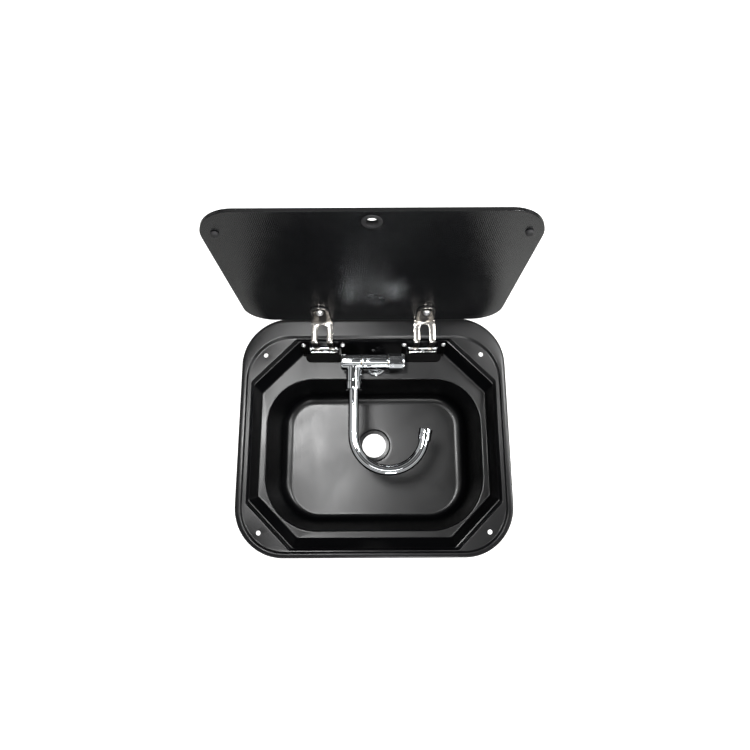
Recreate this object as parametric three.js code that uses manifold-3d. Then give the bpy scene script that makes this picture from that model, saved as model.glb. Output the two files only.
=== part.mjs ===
// A caravan sink: a pressed black steel basin that drops into a worktop cut-out, a smoked glass
// lid on two gooseneck hinges along the rear edge, and a chrome cold tap that folds into the bowl.
// Millimetres. +X is to the right, +Y to the rear, +Z up. The origin is the centre of the rim on
// the worktop's top face. The lid stands open and the tap lies folded.
import * as THREE from "three";
import { mergeVertices } from "three/addons/utils/BufferGeometryUtils.js";
import Module from "manifold-3d";

const wasm = await Module();
wasm.setup();

// ---------------------------------------------------------------- driving dimensions

// basin sheet and rim
const sheet = 0.9;
const rimWidth = 420;
const rimDepth = 370;
const rimCorner = 76;
const rimLift = 0.4; // the turned-down edge stays this far off the worktop
const beadRun = 4.5; // rim edge to the crest
const crestHeight = 4.4;
const crestSide = 9; // rim edge to the inner edge of the crest at the sides
const crestFront = 7;
const landDepth = 29.5; // the same along the rear, where the crest is a wide flat land
const landCorner = 70;
const gutterSide = 2.4; // crest to the shelf that the glass lies over
const gutterFront = 2.5;
const gutterRear = 4.3;

// octagonal recess
const recessSide = 15.8; // rim edge to the top edge of the recess
const recessFront = 10.5;
const recessRear = 34.4;
const padLineRear = 275.5; // |x| + y along the straight edge of a rear corner pad
const padLineFront = 300.6; // |x| - y along that of a front corner pad
const stepDepth = 5.9;
const stepSide = 3.4;
const stepFront = 2.5;
const stepRear = 1.6;
const stepDiagonal = 6;
const shelfRun = 0.4;
const shelfDiagonal = 2.5;
const ledgeDepth = 40;
const ledgeFillet = 1.4;
const wallSide = 4.9; // how far the recess walls lean in from the step to the ledge
const wallFront = 9.7;
const wallRear = 12.4;
const wallDiagonalRear = 11.5;
const wallDiagonalFront = 9;
const pocketLean = 0.6; // the same behind each hinge, where the wall stands steep
const pocketHalf = 25.5;
const cheekRun = 1.5;

// bowl
const lipHalf = 175;
const lipFront = 150.5;
const lipRear = 92;
const lipCornerFront = 85;
const lipCornerRear = 74;
const lipRadius = 2;
const bowlDepth = 144;
const bowlLeanSide = 9.5;
const bowlLeanFront = 8.5;
const bowlLeanRear = 10;
const bowlCornerDrop = 16; // the corner arcs tighten by this much down the wall
const filletHeight = 17;
const filletSide = 15;
const filletFront = 9;
const filletRear = 15.5;
const filletCornerDrop = 15;
const drainY = -11;
const drainHole = 21.7;
const drainSeat = 28.3;
const drainEdge = 1;
const drainDish = 3.8;
const drainSeatDepth = 3;
const floorFall = 1.8;
const seatFall = 0.6;

// fixing holes in the corner pads
const padHoleRadius = 3.5;
const padHoleX = 172.6;
const padHoleRear = 123.8;
const padHoleFront = 149;

// seal under the rim
const sealInset = 3;
const sealWidth = 3.5;
const sealHeight = 2.8;

// clearance between neighbours
const gap = 0.3;

// hinges
const hingeX = 82.5;
const pinY = 143;
const pinZ = -27.8;
const pinRadius = 2.3;
const pinHeadRadius = 4;
const pinHeadLength = 1.4;
const openAngle = 96; // degrees between the lid lying shut and the lid standing open
const strapWidth = 34.2;
const strapWindow = 15.4;
const strapThickness = 2;
const strapBend = 5;
const strapArch = 3.4; // corner of the strap to the top of the window
const strapShoulder = 7; // corner of the strap to the shoulders of the tab
const tabWidth = 28;
const bracketHalf = 22.5;
const bracketSheet = 1.6;
const bracketFront = 6.5;
const bracketLip = 5.2;
const rivetRadius = 1.8;
const rivetHeadRadius = 3.2;
const rivetHeadHeight = 1.4;
const basePlateHalf = 31;
const basePlateFront = 21.5; // pin to the front edge of the base plate
const basePlateHeight = 3.4;
const basePlateCorner = 8;
const tongueHalf = 24.6;
const uprightInner = 28.4;
const uprightOuter = 35.2;
const uprightThickness = 2.4;
const uprightHeight = 35; // along the sloping wall from its foot
const uprightCorner = 3;
const uprightFoot = 2.5;
const wallScrewX = 32;
const wallScrewHeight = 29.5;
const screwRadius = 2;
const screwHeadRadius = 4;
const screwHeadHeight = 2.4;
const screwLength = 12;
const nutFlats = 7;
const nutHeight = 3.2;

// glass lid, measured lying shut, from the hinge pin
const glassWidth = 396.6;
const glassLength = 275.6;
const glassThickness = 5;
const glassOverPin = 33;
const glassBeyondPin = 41.8;
const glassFreeCorner = 48;
const glassHingeCorner = 42;
const fingerHoleInset = 17.6;
const fingerHoleRadius = 10;
const grommetBore = 7.4;
const grommetFlange = 12.2;
const grommetLip = 1.3;
const clampInset = 34; // hinge edge of the glass to the clamp bolts
const clampBolt = 3;
const clampHole = 4.4;
const clampPad = 1.2;
const clampPadEdge = 2;
const clampWasherRadius = 9.5;
const boltHeadRadius = 6;
const boltHeadHeight = 4.2;
const capNutFlats = 13;
const capNutHeight = 7;
const capNutRoof = 1.6;
const bumperRadius = 5;
const bumperX = 180;
const bumperY = -136;

// tap
const tapX = 3;
const tapY = 115.8;
const tapZ = -14;
const tapRadius = 14;
const bodyLeft = -19;
const bodyRight = 23.4;
const edgeChamfer = 1;
const columnRadius = 13;
const flangeRadius = 18.4;
const flangeHeight = 4.8;
const gasketThickness = 1;
const shankRadius = 10;
const shankBore = 6;
const shankEnd = -90;
const shankSocket = 10;
const tapHoleSlack = 1.5;
const shankNutFlats = 30;
const shankNutHeight = 8;
const shankWasherRadius = 17;
const shankWasherThickness = 2;
const tailLength = 34;
const tailBore = 4;
const tailRadius = 5.4;
const tailBarb = 6.6;
const tailBarbs = 3;
const tailBarbPitch = 7;
const tailFlangeRadius = 9.5;
const tailFlangeHeight = 2.5;
const unionFlats = 27;
const unionCover = 12; // how much of the shank the union nut covers
const unionLip = 3;
const cartridgeRadius = 9.7;
const cartridgeLength = 21.7;
const cartridgeNutLength = 4;
const cartridgeGroove = 5; // inner end of the cartridge to its sealing ring
const spindleRadius = 4;
const spindleInside = 15;
const spindleOutside = 12.6;
const knobStart = 0.8; // valve body to knob
const knobLength = 26;
const knobRadius = 13.8;
const knobFlangeRadius = 15.9;
const knobFlange = 1.4;
const knobFacets = 12;
const knobEndBand = 2.4;
const knobRecess = 8.3;
const knobRecessDepth = 10;
const knobCap = 2.5;
const knobScrewRadius = 2;
const knobScrewLength = 11;
const knobScrewHead = 4;
const knobScrewHeadHeight = 2.2;

// swivelling head and spout
const headLeft = -49.8;
const headRight = -19.4;
const journalRadius = 8;
const journalBore = 4.5;
const journalInBody = 10.6;
const journalShoulder = -40;
const journalThread = 5;
const journalPort = 3.5;
const headWeb = 3.3;
const journalNutFlats = 15;
const journalNutHeight = 4.2;
const nutPocket = 11.4;
const journalRings = [-23.5, -38];
const ringGroove = 1.3;
const ringGrooveWidth = 1.6;
const endCapRadius = 13.7;
const endCapThickness = 2.4;
const endCapSpigot = 1.3;
const socketX = -32;
const socketRadius = 12.4;
const socketLength = 38;
const socketNeck = 11;
const socketNeckLength = 5;
const spoutRingPlace = 27;
const spoutRingGroove = 1.6;
const collarRadius = 13.4;
const collarLip = 4.8;
const bushLength = 2.8;
const pipeRadius = 8.5;
const pipeWall = 1.4;
const pipeSides = 10;
const pipeStart = 18; // head axis to the inner end of the pipe
const pipeStraight = 117.8; // head axis to where the pipe starts to curve
const hookRadius = 55.9;
const hookSweep = 169; // degrees
const pipeTail = 6;
const aeratorRadius = 10.8;
const aeratorLength = 19;
const insertLength = 5;
const insertHoles = 6;
const insertHole = 1.1;
const insertCircle = 4.6;

// ---------------------------------------------------------------- materials

const finish = (color, roughness, metalness) =>
  new THREE.MeshStandardMaterial({ color, roughness, metalness });

const blackSteel = finish(0x17181a, 0.35, 0.6);
const blackPaint = finish(0x0c0c0d, 0.5, 0.2);
const rubber = finish(0x101011, 0.85, 0);
const polishedSteel = finish(0xd6d8da, 0.16, 1);
const chrome = finish(0xe6e8ea, 0.06, 1);
const brass = finish(0xb58c3f, 0.35, 1);
const smokedGlass = finish(0x1b1d1f, 0.08, 0);
const whitePlastic = finish(0xdcdcd6, 0.5, 0);

// ---------------------------------------------------------------- solids

const fineRound = 20;
const round = 16;
const smallRound = 12;

// A closed geometry as a solid that can be joined and cut.
function solidOf(geometry) {
  const bare = geometry.clone();
  bare.deleteAttribute("normal");
  bare.deleteAttribute("uv");
  const merged = mergeVertices(bare, 1e-4);
  const mesh = new wasm.Mesh({
    numProp: 3,
    vertProperties: new Float32Array(merged.attributes.position.array),
    triVerts: new Uint32Array(merged.index.array),
  });
  return new wasm.Manifold(mesh);
}

// A joined and cut solid as a geometry for a mesh.
function geometryOf(solid) {
  const mesh = solid.getMesh();
  const geometry = new THREE.BufferGeometry();
  geometry.setAttribute("position", new THREE.BufferAttribute(mesh.vertProperties, 3));
  geometry.setIndex(new THREE.BufferAttribute(mesh.triVerts, 1));
  geometry.computeVertexNormals();
  return geometry;
}

const join = (first, ...others) =>
  others.reduce((solid, geometry) => solid.add(solidOf(geometry)), solidOf(first));
const cut = (solid, ...holes) =>
  holes.reduce((left, geometry) => left.subtract(solidOf(geometry)), solid);

// A solid of revolution about Z from (radius, height) pairs. A ring's profile closes on itself.
function turned(profile, segments = round) {
  const points = profile.map(([r, z]) => new THREE.Vector2(r, z));
  return new THREE.LatheGeometry(points, segments).rotateX(Math.PI / 2);
}

// Cylinder and ring about Z, from z0 up to z1.
const rod = (radius, z0, z1, segments) =>
  turned([[0, z0], [radius, z0], [radius, z1], [0, z1]], segments);
const ring = (inner, outer, z0, z1, segments) =>
  turned([[inner, z0], [outer, z0], [outer, z1], [inner, z1], [inner, z0]], segments);

// The same shapes about another axis: Z turned to +X or to -Y.
const alongX = (geometry) => geometry.rotateY(Math.PI / 2);
const alongFront = (geometry) => geometry.rotateX(Math.PI / 2);

// A sealing ring about Z at height z, lying midway between two radii.
function sealingRing(inner, outer, z) {
  const section = (outer - inner) / 2 - gap;
  return new THREE.TorusGeometry((inner + outer) / 2, section, 5, round).translate(0, 0, z);
}

function box(x0, x1, y0, y1, z0, z1) {
  const geometry = new THREE.BoxGeometry(x1 - x0, y1 - y0, z1 - z0);
  return geometry.translate((x0 + x1) / 2, (y0 + y1) / 2, (z0 + z1) / 2);
}

// A flat outline in XY, extruded from z0 up to z1.
function prism(outline, z0, z1, curveSegments = 6) {
  const settings = { depth: z1 - z0, bevelEnabled: false, curveSegments };
  return new THREE.ExtrudeGeometry(outline, settings).translate(0, 0, z0);
}

// A side-view outline, its axes +Y and +Z, extruded along X from x0 to x1.
function sideways(outline, x0, x1) {
  const toSide = new THREE.Matrix4().makeBasis(
    new THREE.Vector3(0, 1, 0),
    new THREE.Vector3(0, 0, 1),
    new THREE.Vector3(1, 0, 0),
  );
  return prism(outline, x0, x1).applyMatrix4(toSide);
}

function regularOutline(sides, corner) {
  const points = [];
  for (let i = 0; i < sides; i++) {
    const angle = (2 * Math.PI * i) / sides;
    points.push(new THREE.Vector2(corner * Math.cos(angle), corner * Math.sin(angle)));
  }
  return new THREE.Shape(points);
}

const hexagon = (acrossFlats) => regularOutline(6, acrossFlats / Math.sqrt(3));

function withHole(outline, radius, x = 0, y = 0) {
  outline.holes.push(new THREE.Path().absarc(x, y, radius, 0, 2 * Math.PI, true));
  return outline;
}

// A rectangle |x| < half between y0 and y1, with one radius for each pair of corners.
function roundedRectangle(half, y0, y1, lowRadius, highRadius) {
  const outline = new THREE.Shape();
  outline.absarc(half - highRadius, y1 - highRadius, highRadius, 0, Math.PI / 2);
  outline.absarc(-half + highRadius, y1 - highRadius, highRadius, Math.PI / 2, Math.PI);
  outline.absarc(-half + lowRadius, y0 + lowRadius, lowRadius, Math.PI, Math.PI * 1.5);
  outline.absarc(half - lowRadius, y0 + lowRadius, lowRadius, Math.PI * 1.5, Math.PI * 2);
  outline.closePath();
  return outline;
}

function addMesh(parent, name, geometry, material) {
  const mesh = new THREE.Mesh(geometry, material);
  mesh.name = name;
  parent.add(mesh);
  return mesh;
}

function addGroup(parent, x, y, z) {
  const group = new THREE.Group();
  group.position.set(x, y, z);
  parent.add(group);
  return group;
}

const radians = THREE.MathUtils.degToRad;

// ---------------------------------------------------------------- pressed basin

// Every ring of the pressing is four sides joined by four corner stretches, with the same number
// of points. A corner stretch is an arc, or a straight diagonal where the recess is octagonal.
const cornerSteps = 7;
const sideStations = [-1, -0.5, 0, 0.5, 1];
const frontStations = [-1, -0.66, -0.33, 0, 0.33, 0.66, 1];

const stepHalf = rimWidth / 2 - recessSide - stepSide;
const shelfHalf = stepHalf - shelfRun;
const footHalf = shelfHalf - wallSide;
const stepRearY = rimDepth / 2 - recessRear - stepRear;
const shelfRearY = stepRearY - shelfRun;
const footRearY = shelfRearY - wallRear;
const pocketRearY = shelfRearY - pocketLean;
const footLineRear = padLineRear - stepDiagonal - shelfDiagonal - wallDiagonalRear;
const footCornerX = footLineRear - footRearY;
const shelfZ = sheet - stepDepth - shelfRun;
const footZ = ledgeFillet - ledgeDepth;

const rearHalf = [
  footCornerX,
  hingeX + pocketHalf + cheekRun,
  hingeX + pocketHalf,
  hingeX,
  hingeX - pocketHalf,
  hingeX - pocketHalf - cheekRun,
  (hingeX - pocketHalf - cheekRun) / 2,
];
const rearStations = [...rearHalf, 0, ...rearHalf.map((x) => -x).reverse()]
  .map((x) => x / footCornerX);
const inPocket = (station) =>
  Math.abs(Math.abs(station * footCornerX) - hingeX) < pocketHalf + cheekRun / 2;

function addCorner(points, from, to, centre, arc, z) {
  for (let i = 1; i < cornerSteps; i++) {
    const t = i / cornerSteps;
    const turn = (t * Math.PI) / 2;
    const place = [0, 1].map((k) => {
      const chord = from[k] + (to[k] - from[k]) * t;
      const out = (from[k] - centre[k]) * Math.cos(turn);
      const across = (to[k] - centre[k]) * Math.sin(turn);
      return arc ? centre[k] + out + across : chord;
    });
    points.push([...place, z]);
  }
}

function basinRing({ half, front, rear, frontCut, rearCut, arc = true, z, pocket = rear }) {
  const low = -front + frontCut;
  const high = rear - rearCut;
  const sideY = (s) => (low + high) / 2 + (s * (high - low)) / 2;
  const [rearX, frontX] = [half - rearCut, half - frontCut];
  const points = [];
  for (const s of sideStations) {
    points.push([half, sideY(s), z]);
  }
  addCorner(points, [half, high], [rearX, rear], [rearX, high], arc, z);
  for (const s of rearStations) {
    points.push([s * rearX, inPocket(s) ? pocket : rear, z]);
  }
  addCorner(points, [-rearX, rear], [-half, high], [-rearX, high], arc, z);
  for (const s of sideStations) {
    points.push([-half, sideY(-s), z]);
  }
  addCorner(points, [-half, low], [-frontX, -front], [-frontX, low], arc, z);
  for (const s of frontStations) {
    points.push([s * frontX, -front, z]);
  }
  addCorner(points, [frontX, -front], [half, low], [frontX, low], arc, z);
  return points;
}

// The rim: a bead turned down to the worktop, its crest, and the gutter inside it.
function rimRings() {
  const rise = [[0, 0], [0.1, 0.45], [0.36, 0.85], [1, 1]];
  const bead = rise.map(([run, height]) => basinRing({
    half: rimWidth / 2 - run * beadRun,
    front: rimDepth / 2 - run * beadRun,
    rear: rimDepth / 2 - run * beadRun,
    frontCut: rimCorner - run * beadRun,
    rearCut: rimCorner - run * beadRun,
    z: rimLift + height * (crestHeight - rimLift),
  }));
  const fall = [[0, 0], [0.75, 0.86], [1, 1]];
  const gutter = fall.map(([run, drop]) => basinRing({
    half: rimWidth / 2 - crestSide - run * gutterSide,
    front: rimDepth / 2 - crestFront - run * gutterFront,
    rear: rimDepth / 2 - landDepth - run * gutterRear,
    frontCut: rimCorner - crestSide,
    rearCut: landCorner,
    z: crestHeight - drop * (crestHeight - sheet),
  }));
  return [...bead, ...gutter];
}

// One ring of the octagonal recess, from its size and its two diagonal lines.
const octagon = (half, front, rear, lineFront, lineRear, z, pocket) => basinRing({
  half, front, rear, z, pocket,
  frontCut: half + front - lineFront,
  rearCut: half + rear - lineRear,
  arc: false,
});

function recessRings() {
  const edgeFront = rimDepth / 2 - recessFront;
  const stepFrontY = edgeFront - stepFront;
  const shelfFrontY = stepFrontY - shelfRun;
  const footFrontY = shelfFrontY - wallFront;
  const footLineFront = padLineFront - stepDiagonal - shelfDiagonal - wallDiagonalFront;
  const lines = (run) => [padLineFront - run, padLineRear - run];
  const stepLines = lines(stepDiagonal);
  const shelfLines = lines(stepDiagonal + shelfDiagonal);
  const half = rimWidth / 2 - recessSide;
  return [
    octagon(half, edgeFront, rimDepth / 2 - recessRear, ...lines(0), sheet),
    octagon(stepHalf, stepFrontY, stepRearY, ...stepLines, shelfZ + shelfRun),
    octagon(shelfHalf, shelfFrontY, shelfRearY, ...shelfLines, shelfZ),
    octagon(footHalf, footFrontY, footRearY, footLineFront, footLineRear, footZ, pocketRearY),
    octagon(
      footHalf - ledgeFillet, footFrontY - ledgeFillet, footRearY - ledgeFillet,
      footLineFront - 2 * ledgeFillet, footLineRear - 2 * ledgeFillet,
      -ledgeDepth, pocketRearY - ledgeFillet,
    ),
  ];
}

function bowlRings() {
  const roll = [[1, 0], [0.3, 0.3], [0, 1]];
  const lip = roll.map(([out, down]) => basinRing({
    half: lipHalf + out * lipRadius,
    front: lipFront + out * lipRadius,
    rear: lipRear + out * lipRadius,
    frontCut: lipCornerFront + out * lipRadius,
    rearCut: lipCornerRear + out * lipRadius,
    z: -ledgeDepth - down * lipRadius,
  }));
  const sweep = [[0, 0], [0.16, 0.42], [0.5, 0.8], [1, 1]];
  const wall = sweep.map(([run, drop]) => basinRing({
    half: lipHalf - bowlLeanSide - run * filletSide,
    front: lipFront - bowlLeanFront - run * filletFront,
    rear: lipRear - bowlLeanRear - run * filletRear,
    frontCut: lipCornerFront - bowlCornerDrop - run * filletCornerDrop,
    rearCut: lipCornerRear - bowlCornerDrop - run * filletCornerDrop,
    z: -bowlDepth + (1 - drop) * filletHeight,
  }));
  return [...lip, ...wall];
}

// Circles round the drain, their points in line with those of the floor's edge.
function drainRings(floorEdge) {
  const circle = (radius, z) => floorEdge.map(([x, y]) => {
    const reach = Math.hypot(x, y - drainY);
    return [(x / reach) * radius, drainY + ((y - drainY) / reach) * radius, z];
  });
  const brim = -bowlDepth - floorFall;
  return [
    circle(drainSeat + drainEdge + drainDish, brim + seatFall / 2),
    circle(drainSeat + drainEdge, brim),
    circle(drainSeat, brim - drainSeatDepth),
    circle(drainHole, brim - drainSeatDepth - seatFall),
  ];
}

// A sheet of even thickness hung under a loft of rings, which run from the outside in.
function sheetUnder(rings, thickness) {
  const count = rings[0].length;
  const top = rings.flat().map((point) => new THREE.Vector3(...point));
  const faces = [];
  for (let k = 0; k + 1 < rings.length; k++) {
    for (let i = 0; i < count; i++) {
      const next = (i + 1) % count;
      const [a, b] = [k * count + i, k * count + next];
      const [c, d] = [b + count, a + count];
      faces.push([a, b, c], [a, c, d]);
    }
  }
  const vertices = [...top, ...sunkPoints(top, faces, thickness)];
  const under = top.length;
  const triangles = [];
  for (const [a, b, c] of faces) {
    triangles.push(a, b, c, under + a, under + c, under + b);
  }
  const inner = (rings.length - 1) * count;
  for (let i = 0; i < count; i++) {
    const next = (i + 1) % count;
    triangles.push(i, under + i, under + next, i, under + next, next);
    const [a, b] = [inner + i, inner + next];
    triangles.push(a, under + b, under + a, a, b, under + b);
  }
  const geometry = new THREE.BufferGeometry();
  const positions = vertices.flatMap((v) => [v.x, v.y, v.z]);
  geometry.setAttribute("position", new THREE.Float32BufferAttribute(positions, 3));
  geometry.setIndex(triangles);
  return geometry;
}

// Each point moved so that all the faces that meet there sink by the thickness.
function sunkPoints(points, faces, thickness) {
  const sums = points.map(() => new Array(9).fill(0));
  const pull = points.map(() => new THREE.Vector3());
  for (const [a, b, c] of faces) {
    const first = points[b].clone().sub(points[a]);
    const second = points[c].clone().sub(points[a]);
    const normal = first.cross(second).normalize();
    const n = [normal.x, normal.y, normal.z];
    for (const corner of [a, b, c]) {
      n.forEach((ni, i) => n.forEach((nj, j) => {
        sums[corner][3 * i + j] += ni * nj;
      }));
      pull[corner].addScaledVector(normal, -thickness);
    }
  }
  const steady = 1e-5;
  return points.map((point, i) => {
    const [xx, xy, xz, , yy, yz, , , zz] = sums[i];
    const matrix = new THREE.Matrix3().set(
      xx + steady, xy, xz, xy, yy + steady, yz, xz, yz, zz + steady,
    );
    return pull[i].clone().applyMatrix3(matrix.invert()).add(point);
  });
}

// The sloping wall beside a hinge as a frame: across, up the wall, and out of it.
const acrossWall = new THREE.Vector3(1, 0, 0);
const upWall = new THREE.Vector3(0, wallRear, shelfZ - footZ).normalize();
const outOfWall = acrossWall.clone().cross(upWall);

function onWall(geometry, x, up = 0) {
  const place = new THREE.Matrix4().makeBasis(acrossWall, upWall, outOfWall);
  place.setPosition(x, footRearY + up * upWall.y, footZ + up * upWall.z);
  return geometry.applyMatrix4(place);
}

function sinkBowl() {
  const bowl = bowlRings();
  const rings = [...rimRings(), ...recessRings(), ...bowl, ...drainRings(bowl.at(-1))];
  const holes = [];
  for (const side of [-1, 1]) {
    for (const y of [padHoleRear, -padHoleFront]) {
      const hole = rod(padHoleRadius, -sheet, 2 * sheet, smallRound);
      holes.push(hole.translate(side * padHoleX, y, 0));
    }
    for (const edge of [-1, 1]) {
      const hole = rod(screwRadius + gap, -2 * sheet, sheet, smallRound);
      holes.push(onWall(hole, side * hingeX + edge * wallScrewX, wallScrewHeight));
    }
  }
  const tapHole = rod(shankRadius + tapHoleSlack, -2 * sheet, sheet);
  holes.push(tapHole.translate(tapX, tapY, -ledgeDepth));
  return geometryOf(cut(solidOf(sheetUnder(rings, sheet)), ...holes));
}

function rimSeal() {
  const outline = (inset) => roundedRectangle(
    rimWidth / 2 - inset, -rimDepth / 2 + inset, rimDepth / 2 - inset,
    rimCorner - inset, rimCorner - inset,
  );
  const outer = outline(sealInset);
  outer.holes.push(new THREE.Path(outline(sealInset + sealWidth).getPoints(5).reverse()));
  return prism(outer, 0, sealHeight, 5);
}

// ---------------------------------------------------------------- hinges on the basin

const plateBottom = -ledgeDepth + gap;
const plateTop = plateBottom + basePlateHeight;
const bracketBottom = plateTop + gap;
const bracketFloor = bracketBottom + bracketSheet;
const knuckleRadius = pinRadius + gap + strapThickness;
const rivetHole = () => rod(rivetRadius + gap, plateBottom - 1, bracketFloor + 1, smallRound);

// Painted foot: a plate on the ledge, a tongue into the pocket and an upright on each cheek.
function hingeBase() {
  const plateRear = footRearY - ledgeFillet - gap;
  const tongueRear = pocketRearY - ledgeFillet - gap;
  const plate = roundedRectangle(
    basePlateHalf, pinY - basePlateFront, plateRear, basePlateCorner, 1,
  );
  let solid = join(
    prism(plate, plateBottom, plateTop, 2),
    box(-tongueHalf, tongueHalf, pinY - basePlateFront / 2, tongueRear, plateBottom, plateTop),
  );
  const half = (uprightOuter - uprightInner) / 2;
  for (const side of [-1, 1]) {
    const middle = side * (uprightInner + half);
    const outline = roundedRectangle(half, gap, uprightHeight, uprightCorner, uprightCorner);
    withHole(outline, screwRadius + gap, side * wallScrewX - middle, wallScrewHeight);
    const upright = onWall(prism(outline, gap, gap + uprightThickness, 4), middle);
    const foot = box(
      middle - half, middle + half, plateRear - uprightFoot, plateRear,
      plateBottom, plateTop + uprightFoot,
    );
    solid = solid.add(solidOf(upright)).add(solidOf(foot));
  }
  return geometryOf(cut(solid, rivetHole().translate(0, pinY, 0)));
}

// Polished tray with two ears that carry the pin and a low lip in front.
function hingeBracket() {
  const bottom = bracketBottom - pinZ;
  const floorTop = bracketFloor - pinZ;
  const ear = new THREE.Shape();
  ear.moveTo(-bracketFront, bottom);
  ear.lineTo(knuckleRadius, bottom);
  ear.absarc(0, 0, knuckleRadius, 0, Math.PI);
  ear.lineTo(-bracketFront, bottom + bracketLip / 2);
  ear.closePath();
  withHole(ear, pinRadius + gap);
  const inner = bracketHalf - bracketSheet;
  const lipBack = bracketSheet - bracketFront;
  const solid = join(
    box(-bracketHalf, bracketHalf, -bracketFront, knuckleRadius, bottom, floorTop),
    box(-bracketHalf, bracketHalf, -bracketFront, lipBack, bottom, bottom + bracketLip),
    sideways(ear, -bracketHalf, -inner),
    sideways(ear, inner, bracketHalf),
  );
  const hole = rivetHole().translate(0, 0, -pinZ);
  return geometryOf(cut(solid, hole)).translate(0, pinY, pinZ);
}

function hingeRivet() {
  const seat = bracketFloor + gap;
  return turned([
    [0, plateBottom + gap], [rivetRadius, plateBottom + gap], [rivetRadius, seat],
    [rivetHeadRadius, seat], [rivetHeadRadius * 0.7, seat + rivetHeadHeight],
    [0, seat + rivetHeadHeight],
  ], smallRound).translate(0, pinY, 0);
}

function wallScrew() {
  const seat = uprightThickness + 2 * gap;
  return turned([
    [0, seat - screwLength], [screwRadius, seat - screwLength], [screwRadius, seat],
    [screwHeadRadius, seat], [screwHeadRadius, seat + screwHeadHeight * 0.4],
    [screwHeadRadius * 0.7, seat + screwHeadHeight], [0, seat + screwHeadHeight],
  ], smallRound);
}

function wallNut() {
  const outline = withHole(hexagon(nutFlats), screwRadius + gap);
  return prism(outline, -sheet - gap - nutHeight, -sheet - gap, 5).rotateZ(Math.PI / 6);
}

function addHingeFeet(root) {
  for (const [side, sign] of [["left", -1], ["right", 1]]) {
    const x = sign * hingeX;
    addMesh(root, `hinge_base_${side}`, hingeBase(), blackPaint).position.x = x;
    addMesh(root, `hinge_bracket_${side}`, hingeBracket(), polishedSteel).position.x = x;
    addMesh(root, `hinge_rivet_${side}`, hingeRivet(), polishedSteel).position.x = x;
    for (const [end, edge] of [["outer", sign], ["inner", -sign]]) {
      const place = x + edge * wallScrewX;
      const screw = onWall(wallScrew(), place, wallScrewHeight);
      const nut = onWall(wallNut(), place, wallScrewHeight);
      addMesh(root, `hinge_screw_${side}_${end}`, screw, polishedSteel);
      addMesh(root, `hinge_nut_${side}_${end}`, nut, polishedSteel);
    }
  }
}

// Riveted pins, which turn freely in the bracket and in the strap.
function addHingePins(root) {
  const seat = bracketHalf + gap;
  for (const [side, sign] of [["left", -1], ["right", 1]]) {
    const pin = turned([
      [0, -seat - pinHeadLength], [pinHeadRadius, -seat - pinHeadLength],
      [pinHeadRadius, -seat], [pinRadius, -seat], [pinRadius, seat],
      [pinHeadRadius, seat], [pinHeadRadius * 0.7, seat + pinHeadLength],
      [0, seat + pinHeadLength],
    ], smallRound);
    const mesh = addMesh(root, `hinge_pin_${side}`, alongX(pin), polishedSteel);
    mesh.position.set(sign * hingeX, pinY, pinZ);
  }
}

// ---------------------------------------------------------------- lid

const freeEdge = -glassBeyondPin - glassLength;
const clampY = -glassBeyondPin - clampInset;
const glassTop = glassOverPin + glassThickness;
const nutSeat = glassTop + clampPad + 2 * gap;
const tabTop = glassOverPin - clampPad - 2 * gap;

function glassLid() {
  const outline = roundedRectangle(
    glassWidth / 2, freeEdge, -glassBeyondPin, glassFreeCorner, glassHingeCorner,
  );
  withHole(outline, fingerHoleRadius, 0, freeEdge + fingerHoleInset);
  withHole(outline, clampHole, -hingeX, clampY);
  withHole(outline, clampHole, hingeX, clampY);
  return prism(outline, glassOverPin, glassTop, 8);
}

function fingerGrommet() {
  const lower = glassOverPin - gap;
  const upper = glassTop + gap;
  const neck = fingerHoleRadius - gap;
  const crown = grommetFlange - grommetLip / 2;
  return turned([
    [grommetBore, lower - grommetLip], [crown, lower - grommetLip],
    [grommetFlange, lower], [neck, lower], [neck, upper], [grommetFlange, upper],
    [crown, upper + grommetLip], [grommetBore, upper + grommetLip],
    [grommetBore, lower - grommetLip],
  ]);
}

// The outline of a strip of even thickness that follows a bent centre line.
function bentStrip(points, bend, thickness) {
  const middle = [];
  const steps = 4;
  points.forEach((point, i) => {
    if (i === 0 || i === points.length - 1) {
      const [from, to] = i === 0 ? [point, points[1]] : [points[i - 1], point];
      middle.push([point, to.clone().sub(from).normalize()]);
      return;
    }
    const before = point.clone().sub(points[i - 1]).normalize();
    const after = points[i + 1].clone().sub(point).normalize();
    const turn = Math.atan2(before.cross(after), before.dot(after));
    const start = point.clone().addScaledVector(before, -bend * Math.tan(Math.abs(turn) / 2));
    const side = new THREE.Vector2(-before.y, before.x).multiplyScalar(Math.sign(turn) * bend);
    const centre = start.clone().add(side);
    for (let k = 0; k <= steps; k++) {
      const angle = (turn * k) / steps;
      const place = start.clone().rotateAround(centre, angle);
      middle.push([place, before.clone().rotateAround(new THREE.Vector2(), angle)]);
    }
  });
  const edge = (offset) => middle.map(([place, along]) =>
    new THREE.Vector2(place.x - along.y * offset, place.y + along.x * offset));
  return new THREE.Shape([...edge(-thickness / 2), ...edge(thickness / 2).reverse()]);
}

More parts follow.
